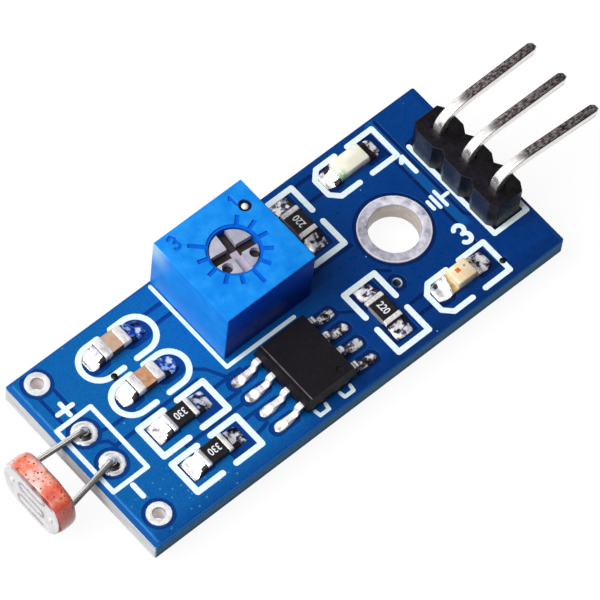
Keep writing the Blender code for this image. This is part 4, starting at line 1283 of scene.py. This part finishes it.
def end_sections(kind, side, top, taper, foot):
    """Sections of a part's metal end and of its solder, from the part outwards."""
    inner = kind["body"] / 2
    outer = inner + 0.03 + kind["cap"]
    half = kind["width"] / 2 + 0.03
    edge = outer - min(0.07, kind["cap"] / 2)
    metal = ((inner, top - 0.03, 14), (inner + 0.03, top, 12), (edge, top, 12), (outer, top - 0.05, 9))
    sections = [hump(side * x, half, 0.0, height, power) for x, height, power in metal]
    steps = 14
    for i in range(steps + 1):
        s = i / steps
        height = 0.07 + (top - 0.14 - 0.07) * (1 - s) ** 1.9
        width = half * (0.97 + 0.05 * math.sin(math.pi * s) - taper * s ** (4 if taper > 0 else 1))
        sections.append(hump(side * (outer + 0.01 + foot * s), width, 0.0, height, 8 - 5 * s ** 0.5))
    sections.append(hump(side * (outer + foot + 0.03), half * (0.95 - taper), 0.0, 0.03, 3))
    return sections


def end_material(kind, near, laps, outer, reach, across):
    """The material slot of one face: 0 is the solder, 1 the metal end and 2 painted shade: a dark line at
    the metal end and dark patches where the solder is in shade.
    """
    if kind is DIODE:
        shaded_patch = reach < outer + (0.34 if near else 0.42) and (abs(across) > 0.26 or not near)
        return 2 if shaded_patch and laps == (0.0, 0.0) else 0
    if reach < outer - 0.03 and not (kind is RESISTOR and near):
        return 1
    if kind is RESISTOR and near:
        return 2 if reach > outer - 0.04 and across < -0.2 - 0.5 * (reach - outer) else 0
    if near:
        return 2 if reach < outer - 0.005 or (across < -0.3 and reach < outer + 0.4) else 0
    return 2 if reach < outer + 0.05 or (reach < outer + 0.5 and across < -0.32) else 0


def make_end(name, kind, centre, turn, side, top, seed, stands_for, laps):
    """One end of a chip part with its solder. It laps over the part by so much at low and at high y."""
    near = side == -1 and turn == 0.0
    taper = 0.26 if kind is not RESISTOR else -0.15 if near else 0.06
    foot = kind["foot"] + (0.28 if kind is CAPACITOR and not near else 0.0)
    outer = kind["body"] / 2 + kind["cap"] + 0.06
    far = kind["body"] / 2 + kind["cap"] + foot
    bm = loft(end_sections(kind, side, top, taper, foot))
    roughen(bm, 0.09, 1.7, seed, lambda p: outer < abs(p.x) < far - 0.05 and p.z > 0.02)
    lapping = outer - 0.02 if kind is DIODE else kind["body"] / 2 + 0.05
    for vert in bm.verts:
        if abs(vert.co.x) < lapping:
            share = min(1.0, max(0.0, 0.5 + 2.0 * vert.co.y / kind["width"]))
            vert.co.x -= side * (laps[0] + (laps[1] - laps[0]) * share)
    for face in bm.faces:
        middle = face.calc_center_median()
        place = (abs(middle.x), middle.y / kind["width"])
        face.material_index = end_material(kind, near, laps, outer, *place)
    turned_to(bm, centre, turn)
    # The near ends are the lit ones; the others take solder with painted shade and painted glints, and on
    # the capacitors a painted reflection of the board's blue.
    material = "solder_bright" if near else "solder_blue_reflection" if kind is CAPACITOR else "solder_mottled_shade"
    how = {"stands_for": (stands_for,), "sharp": 50.0, "others": ("cap_silver", "solder_shade")}
    smooth(add_piece(name, bm, material, "solder", **how))


def make_block(name, kind, centre, turn, length, edge, material, slot, stands_for):
    half_x, half_y = length / 2, kind["width"] / 2
    bm = plate(rectangle(-half_x, half_x, -half_y, half_y), BODY_BOTTOM, kind["height"])
    turned_to(bm, centre, turn)
    soften(add_piece(name, bm, material, slot, stands_for=(stands_for,)), edge)


def make_chip_part(name, kind, centre, turn, seed, code=None, code_turn=0.0):
    material, slot = ("capacitor_tan", "capacitor_brown") if kind is CAPACITOR else ("resistor_black",) * 2
    make_block(
        f"{name}_block", kind, centre, turn, kind["body"] + 0.02, 0.04, material, slot, f"{name}_body",
    )
    top = kind["height"]
    lap = 0.2 if kind is CAPACITOR else 0.0
    for number, side in enumerate((-1, 1), 1):
        solder, end = f"{name}_solder_{number}", f"{name}_end_{number}"
        make_end(solder, kind, centre, turn, side, top + 0.03, seed + number, end, (lap, lap))
    if code:
        make_code(f"{name}_code", code, centre, code_turn, top - 0.01, top + 0.015)


def make_led(name, centre, lens, top, lens_material, seed, laps=((0.0, 0.0), (0.0, 0.0))):
    base = (f"{name}_base", DIODE, centre, 0.0, DIODE["body"], 0.03)
    make_block(*base, "diode_base", "lens_resin", f"{name}_body")
    half_x, half_y = lens / 2, DIODE["width"] / 2
    rings = []
    for share, z in ((1.0, DIODE["height"] - 0.01), (0.97, top - 0.12), (0.93, top - 0.03), (0.88, top)):
        loop = rounded_box_loop(-half_x * share, half_x * share, -half_y * share, half_y * share, 0.1, 3)
        rings.append([(x, y, z) for x, y in loop])
    bm = loft(rings)
    turned_to(bm, centre)
    add_piece(f"{name}_lens", bm, lens_material, "lens_resin")
    for number, (side, lap) in enumerate(zip((-1, 1), laps), 1):
        solder, end = f"{name}_solder_{number}", f"{name}_end_{number}"
        make_end(solder, DIODE, centre, 0.0, side, 0.4, seed + number, end, lap)


def make_die(name, centre, size, low, high, material):
    x, y = centre
    half = size / 2
    loop = rounded_box_loop(x - half, x + half, y - half, y + half, 0.04, 3)
    add_piece(name, plate(loop, low, high), material, "lens_resin")


# The comparator.

CHIP_MIDDLE = (CHIP_TOP + CHIP_BOTTOM) / 2
CHIP_MARK = (CHIP_CENTRE[0] + 1.05, CHIP_CENTRE[1] - 1.85)
LEG_END = 3.15
LEG_FOOT = 0.2
LEG_SOLDER = (2.33, 3.98)


def make_comparator():
    x, y = CHIP_CENTRE
    levels = [(CHIP_BOTTOM, 0.16)]
    levels += [(CHIP_MIDDLE - 0.08, 0.02), (CHIP_MIDDLE, 0.0), (CHIP_MIDDLE + 0.08, 0.02)]
    levels.append((CHIP_TOP, 0.16))
    rings = []
    for z, inset in levels:
        half_x, half_y = CHIP_WIDTH / 2 - inset, CHIP_LENGTH / 2 - inset
        loop = rounded_box_loop(x - half_x, x + half_x, y - half_y, y + half_y, 0.06, 3)
        rings.append([(px, py, z) for px, py in loop])
    bm = loft(rings)
    body = add_piece("comparator_case", bm, "chip_epoxy", "chip_black", stands_for=("comparator_body",))
    dimple = [(0.0, 0.1), (0.26, 0.1), (0.24, 0.0), (0.22, -0.08), (0.12, -0.1), (0.0, -0.1)]
    body.data = cut_away(body, [lathed_cutter([(r, CHIP_TOP + z) for r, z in dimple], CHIP_MARK, 24)])
    sharpen(body.data, 30)
    soften(body, 0.07, 3, 40.0)
    for number in range(1, 9):
        side = 1 if number <= 4 else -1
        step = number - 1 if side > 0 else 8 - number
        centre = (x, y + (step - 1.5) * CHIP_LEAD_PITCH)
        make_leg(number, centre, side)
        make_leg_solder(number, centre, side)


def make_leg(number, centre, side):
    """A gull-wing lead with rounded edges."""
    start = CHIP_WIDTH / 2 - 0.02
    down = start + (0.52 if side > 0 else 0.34)
    path = [(start, CHIP_MIDDLE)] + arc((down - 0.2, CHIP_MIDDLE - 0.2), 0.2, 90, 10, 5)
    path += arc((down + 0.24, LEG_FOOT + 0.24), 0.24, 190, 270, 5) + [(LEG_END, LEG_FOOT)]
    bm = loft(bar_rings([(px, pz, 1.0) for px, pz in path], 0.215, 0.1, 0.05, 2, side))
    turned_to(bm, centre)
    # The legs on the far side take the copy with painted shade.
    material = "leg_shaded" if side > 0 else "cap_silver"
    add_piece(
        f"comparator_leg_{number}", bm, material, "pin_plating",
        stands_for=(f"comparator_lead_{number}",),
    )


def make_leg_solder(number, centre, side):
    """The solder that runs out along a lead's pad."""
    start, end = LEG_SOLDER
    sections = []
    steps = 16
    for i in range(steps + 1):
        s = i / steps
        width = 0.30 + 0.06 * math.sin(math.pi * s ** 1.4) - 0.12 * (1 - s) ** 2
        close = math.sqrt(max(0.0, 1 - max(0.0, (s - 0.84) / 0.16) ** 2))
        rise = 0.10 + 0.19 * math.exp(-((s - 0.42) / 0.2) ** 2)
        x = side * (start + (end - start) * s)
        sections.append(hump(x, width * max(close, 0.15), 0.0, rise * max(close, 0.2), 2.6))
    bm = loft(sections)
    roughen(bm, 0.05, 2.1, 20 + number, lambda p: p.z > 0.02)
    turned_to(bm, centre)
    # The far side's solder takes painted shade with painted glints.
    material = "solder_glints" if side > 0 else "solder_bright"
    smooth(add_piece(f"comparator_solder_{number}", bm, material, "solder", sharp=60.0))


# The header.

HEADER_HALF = 1.25
HEADER_CUT = 0.35
HEADER_NOTCH = 0.55
WELL_REACH = PIN_SIDE / 2 + 0.06


def make_header():
    x = HEADER_CENTRE[0]
    inset = HEADER_HALF - HEADER_CUT
    right = [(inset, HEADER_PIN_Y[0] + PITCH / 2)]
    for y in HEADER_PIN_Y:
        right += [(HEADER_HALF, y + PITCH / 2 - HEADER_NOTCH), (HEADER_HALF, y - PITCH / 2 + HEADER_NOTCH)]
        right.append((inset, y - PITCH / 2))
    left = [(-px, py) for px, py in right[::-1]]
    bm = plate([(x + px, py) for px, py in right + left], BODY_BOTTOM, HEADER_HEIGHT)
    body = add_piece("header_block", bm, "header_black", "header_plastic", stands_for=("header_body",))
    wells = [
        rectangle(x - WELL_REACH, x + WELL_REACH, y - WELL_REACH, y + WELL_REACH) for y in HEADER_PIN_Y
    ]
    body.data = cut_away(body, cutters_from(wells, -0.2, HEADER_HEIGHT + 0.2))
    soften(body, 0.05)
    for number, (y, splay) in enumerate(zip(HEADER_PIN_Y, PIN_SPLAY_DEGREES), 1):
        make_pin(number, (x, y), splay)


def make_pin(number, centre, splay):
    low = UNDERSIDE - TAIL_LENGTH
    height = PIN_AXIS_HEIGHT
    reach = PIN_TIP_X - HEADER_CENTRE[0]
    path = [(0.0, low, 0.55), (0.0, low + 0.06, 0.66), (0.0, low + 0.32, 1.0)]
    for share_x, share_z in arc((1.0, 0.0), 1.0, 180, 90, 18):
        path.append((PIN_BEND_LENGTH * share_x, height + PIN_BEND_HEIGHT * (share_z - 1), 1.0))
    path += [(reach - 0.3, height, 1.0), (reach - 0.06, height, 0.66), (reach, height, 0.55)]
    bm = loft(bar_rings(path, PIN_SIDE / 2, PIN_SIDE / 2, 0.08, 3))
    turned_to(bm, centre, splay)
    add_piece(f"header_post_{number}", bm, "pin_metal", "pin_plating", stands_for=(f"header_pin_{number}",))


# The photoresistor.

CELL_RING_POINTS = 40
CELL_BACK_X = CELL_FACE_X + CELL_THICKNESS
TRACK_RUNS = 5
TRACK_REACH = 1.1
TRACK_WIDTH = 0.2


def cell_ring(x, offset):
    """The cell's outline at one depth, grown or shrunk by the offset: a circle with two rounded flats."""
    radius, half = CELL_RADIUS + offset, CELL_HALF_HEIGHT + offset
    corner = 0.55 + offset * 0.5
    flat = half - corner
    made = []
    for i in range(CELL_RING_POINTS):
        a = 2 * math.pi * i / CELL_RING_POINTS
        y, z = radius * math.cos(a), radius * math.sin(a)
        over = abs(z) - flat
        if over > 0:
            share = min(1.0, over / (radius - flat))
            z = math.copysign(flat + corner * math.sin(share * math.pi / 2), z)
        made.append((x, CELL_CENTRE_Y + y, CELL_CENTRE_HEIGHT + z))
    return made


def uneven_ring(x_low, x_high, low, high):
    """The outline with another depth and offset at the top than at the bottom."""
    made = []
    for i in range(CELL_RING_POINTS):
        share = max(0.0, math.sin(2 * math.pi * i / CELL_RING_POINTS)) ** 0.6
        made.append(cell_ring(x_low + (x_high - x_low) * share, low + (high - low) * share)[i])
    return made


def make_cell_shell():
    front, back = CELL_FACE_X, CELL_BACK_X
    stations = (
        (back, -0.5), (back - 0.02, -0.3), (back - 0.09, -0.13), (back - 0.22, -0.03), (back - 0.45, 0.0),
        (back - 0.75, 0.0), (back - 1.0, -0.01), (front + 0.34, -0.02),
    )
    rims = (
        (0.2, 0.08, -0.05, -0.02), (0.14, 0.004, -0.12, -0.08), (0.14, 0.004, -0.18, -0.24),
        (0.14, 0.004, -0.2, -0.5), (0.15, 0.06, -0.25, -0.56),
    )
    rings = [cell_ring(x, offset) for x, offset in stations]
    rings += [uneven_ring(front + x_low, front + x_high, low, high) for x_low, x_high, low, high in rims]
    bm = loft(rings)
    roughen(bm, 0.06, 1.1, 3, lambda p: p.x > front + 0.3)
    how = {"stands_for": ("photoresistor_coating",), "sharp": 60.0}
    smooth(add_piece("photoresistor_shell", bm, "cell_red", "cell_coating", **how))


def make_cell_face():
    rim = ((0.16, -0.2), (0.13, -0.1), (0.07, -0.08), (0.04, -0.12), (0.035, -0.2))
    inside = ((0.04, -0.26), (0.05, -0.4), (0.052, -1.2))
    bm = loft([cell_ring(CELL_FACE_X + depth, offset) for depth, offset in rim + inside])
    how = {"stands_for": ("photoresistor_disc",), "sharp": 60.0}
    add_piece("photoresistor_face", bm, "cell_face", "cell_ceramic", **how)


def make_cell_track():
    """The winding line on the cell's face."""
    spacing = 2 * (CELL_HALF_HEIGHT - 0.55) / (TRACK_RUNS - 1)
    turn = spacing / 2
    top = (TRACK_RUNS - 1) / 2 * spacing
    path = [(-TRACK_REACH, -top)]
    for run in range(TRACK_RUNS - 1):
        side, start = (1, -90) if run % 2 == 0 else (-1, 270)
        path += arc((side * (TRACK_REACH - turn), run * spacing - top + turn), turn, start, 90, 8)
    path.append((TRACK_REACH, top))
    bm = plate(stroke_loop(path, TRACK_WIDTH), 0.03, 0.06)
    upright = Matrix(((0, 0, 1), (1, 0, 0), (0, 1, 0))).to_4x4()
    bm.transform(Matrix.Translation((CELL_FACE_X, CELL_CENTRE_Y, CELL_CENTRE_HEIGHT)) @ upright)
    add_piece("photoresistor_track", bm, "cell_track", "cell_ceramic")


def make_cell_joint(number, pad_y):
    """The solder round a wire, above and below the board."""
    low = UNDERSIDE
    pad = CELL_PAD_RADIUS
    inner = LEAD_RADIUS + 0.01
    above = [
        (inner, 0.25), (0.25, 0.245), (0.3, 0.215), (0.37, 0.17), (0.46, 0.125), (0.56, 0.1),
        (0.64, 0.115),
    ]
    ring = [(pad - 0.05, PAD_TOP), (pad, 0.04), (pad, 0.0), (0.46, 0.0), (0.46, low), (0.8, low)]
    below = [
        (0.8, low - 0.06), (0.55, low - 0.24), (0.4, low - 0.55), (0.33, low - 0.85),
        (inner, low - 0.87),
    ]
    bm = lathe(above + ring + below, (CELL_PAD_X, pad_y), 40)
    replaced = (f"photoresistor_solder_{number}",)
    add_piece(f"photoresistor_joint_{number}", bm, "joint_tin", "solder", stands_for=replaced)


def make_cell_wire(number, pad_y, cell_y):
    height = CELL_CENTRE_HEIGHT
    pad = Vector((CELL_PAD_X, pad_y, 0.0))
    entry = Vector((CELL_BACK_X + LEAD_STRAIGHT_LENGTH, cell_y, 0.0))
    out = (entry - pad).normalized()
    bend = (LEAD_BEND_RADIUS, height - LEAD_BEND_RADIUS)
    profile = [(0.0, UNDERSIDE - TAIL_LENGTH)] + arc(bend, LEAD_BEND_RADIUS, 180, 90, 12)
    path = [pad + out * reach + Vector((0.0, 0.0, z)) for reach, z in profile]
    for share in (0.3, 0.6, 0.9, 1.0):
        path.append((pad + (entry - pad) * share) + Vector((0.0, 0.0, height)))
    path.append(Vector((CELL_FACE_X + 0.02, cell_y, height)))
    rings = []
    side = Vector((-out.y, out.x, 0.0))
    round_wire = circle((0.0, 0.0), 1.0, 20)
    for i, point in enumerate(path):
        along = (path[min(i + 1, len(path) - 1)] - path[max(i - 1, 0)]).normalized()
        across = (side - along * side.dot(along)).normalized()
        third = along.cross(across)
        rings.append([point + (across * c + third * s) * LEAD_RADIUS for c, s in round_wire])
    bm = loft(rings)
    replaced = (f"photoresistor_lead_{number}",)
    add_piece(f"photoresistor_wire_{number}", bm, "lead_wire", "pin_plating", stands_for=replaced)


def make_photoresistor():
    make_cell_shell()
    make_cell_face()
    make_cell_track()
    for number, (pad_y, cell_y) in enumerate(zip(CELL_PAD_Y, CELL_LEAD_Y), 1):
        make_cell_wire(number, pad_y, cell_y)
        make_cell_joint(number, pad_y)


# The trimmer.

CAVITY_TOP = TRIMMER_TOP - TRIMMER_TOP_WALL
TICK_LENGTH = 0.62
LONG_TICK_LENGTH = 1.05
TICK_HALF_WIDTH = 0.14
GATE = (TRIMMER_CENTRE[0] + 2.44, TRIMMER_CENTRE[1] + 1.86)
GATE_DISC_RADIUS = 0.212


def scale_loops():
    """The scale's ticks over 270 degrees, and the ring that they start from."""
    loops = []
    for tick in range(11):
        end = SCALE_RING_RADIUS + (LONG_TICK_LENGTH if tick in (0, 5) else TICK_LENGTH)
        corners = rectangle(SCALE_RING_RADIUS - 0.1, end, -TICK_HALF_WIDTH, TICK_HALF_WIDTH)
        loops.append(turned(corners, TRIMMER_CENTRE, 135.0 + 27.0 * tick))
    return loops + [circle(TRIMMER_CENTRE, SCALE_RING_RADIUS, 64)]


def make_housing():
    x, y = TRIMMER_CENTRE
    half_x, half_y = TRIMMER_LENGTH / 2, TRIMMER_WIDTH / 2
    bm = plate(rectangle(x - half_x, x + half_x, y - half_y, y + half_y), 0.12, TRIMMER_TOP)
    how = {"stands_for": ("trimmer_housing",), "others": ("gate_glint",)}
    body = add_piece("trimmer_case", bm, "trimmer_blue", "housing_blue", **how)
    soften(body, 0.1)
    room_x, room_y = half_x - TRIMMER_WALL, half_y - TRIMMER_WALL
    room = rectangle(x - room_x, x + room_x, y - room_y, y + room_y)
    top = TRIMMER_TOP
    cutters = cutters_from([room], -0.5, CAVITY_TOP)
    cutters += cutters_from([circle(TRIMMER_CENTRE, TRIMMER_HOLE_RADIUS, 64)], CAVITY_TOP - 0.5, top + 0.5)
    cutters += cutters_from(scale_loops(), top - 0.1, top + 0.3)
    well = [(0.0, top + 0.1), (0.42, top + 0.1), (0.41, top - 0.16), (0.0, top - 0.16)]
    cutters.append(lathed_cutter(well, GATE, 32))
    digits = one_path((0.5, 5.9), 0.62) + three_paths((-4.0, 5.95), 0.9)
    cutters += cutters_from([stroke_loop(path, 0.2, 3) for path in digits], top - 0.07, top + 0.2)
    body.data = cut_away(body, cutters)
    body.modifiers.clear()
    sharpen(body.data, 25)


def make_gate():
    """A disc painted white as a glint in the housing's small well, and the dark floor round it."""
    disc = ((AXIS, -0.01), (0.12, -0.025), (0.2, -0.07), (0.22, -0.13))
    floor = ((0.405, -0.13), (0.405, -0.155), (AXIS, -0.155))
    bm = lathe([(r, TRIMMER_TOP + z) for r, z in disc + floor], GATE, 32)
    for face in bm.faces:
        middle = face.calc_center_median()
        if (middle.xy - Vector(GATE)).length > GATE_DISC_RADIUS:
            face.material_index = 1
    add_piece("trimmer_gate", bm, "gate_glint", "housing_blue", sharp=60.0, others=("via_dark",))


def make_rotor():
    radius, top = ROTOR_RADIUS, ROTOR_TOP
    profile = [
        (AXIS, top), (0.6, top), (radius - 0.1, top), (radius - 0.03, top - 0.03), (radius, top - 0.1),
        (radius, ROTOR_FLANGE_TOP), (ROTOR_FLANGE_RADIUS, ROTOR_FLANGE_TOP), (
            ROTOR_FLANGE_RADIUS, ROTOR_BOTTOM,
        ),
        (AXIS, ROTOR_BOTTOM),
    ]
    bm = lathe(profile, TRIMMER_CENTRE, 72)
    how = {"body": "rotor", "stands_for": ("trimmer_rotor",)}
    body = add_piece("trimmer_dial", bm, "rotor_plastic", "rotor_white", **how)
    half, end = SLOT_WIDTH / 2, radius + 0.2
    arms = (
        (0.0, 0.24, SLOT_DEPTH), (180.0, 0.24, SLOT_DEPTH), (90.0, 0.1, SLOT_DEPTH), (
            270.0, -0.2, POINTER_SLOT_DEPTH,
        ),
    )
    cutters = []
    for degrees, start, depth in arms:
        loop = turned(rectangle(start, end, -half, half), TRIMMER_CENTRE, degrees + ROTOR_REST_DEGREES)
        cutters += cutters_from([loop], top - depth, top + 0.3)
    for side in (-1, 1):
        (centre,) = turned([(1.22, 0.0)], TRIMMER_CENTRE, 270.0 + ROTOR_REST_DEGREES + side * 53.0)
        cutters += cutters_from([circle(centre, 0.34, 28)], top - 0.5, top + 0.3)
    body.data = cut_away(body, cutters)
    sharpen(body.data, 30)
    soften(body, 0.045, 3, 35.0)


def make_trimmer():
    make_housing()
    make_gate()
    make_rotor()
    repaint("pin_metal", "trimmer_pin_1", "trimmer_pin_2", "trimmer_pin_3")
    repaint("element_ceramic", "trimmer_element_plate")
    repaint("wiper_metal", "trimmer_wiper")


make_board()
make_plated_holes()
make_chip_part("resistor_1", RESISTOR, (-9.46, -1.23), 0.0, 1, "330", 180.0)
make_chip_part("resistor_2", RESISTOR, (-9.46, -4.27), 0.0, 4, "330", 180.0)
make_chip_part("resistor_3", RESISTOR, (4.42, 4.02), 90.0, 7, "220", 90.0)
make_chip_part("resistor_4", RESISTOR, (4.44, -3.55), 90.0, 10, "220", -90.0)
make_chip_part("capacitor_1", CAPACITOR, (-9.55, 4.85), 0.0, 13)
make_chip_part("capacitor_2", CAPACITOR, (-9.55, 1.82), 0.0, 16)
make_led("led_1", (9.5, 5.22), 2.24, 0.75, "lens_green", 19)
make_led("led_2", (9.55, -4.75), 1.5, 0.88, "lens_amber", 22, ((0.02, 0.34), (0.24, 0.36)))
make_die("led_2_die", (9.38, -4.6), 0.3, 0.8, 0.885, "die_orange")
make_die("led_2_bond", (9.9, -4.58), 0.14, 0.8, 0.885, "die_dark")
make_comparator()
make_header()
make_photoresistor()
make_trimmer()
repaint(
    "solder_bright",
    *(f"{part}_solder_{number}" for part in ("header", "trimmer") for number in (1, 2, 3)),
)

view = bpy.context.scene.view_settings
view.view_transform = "Standard"
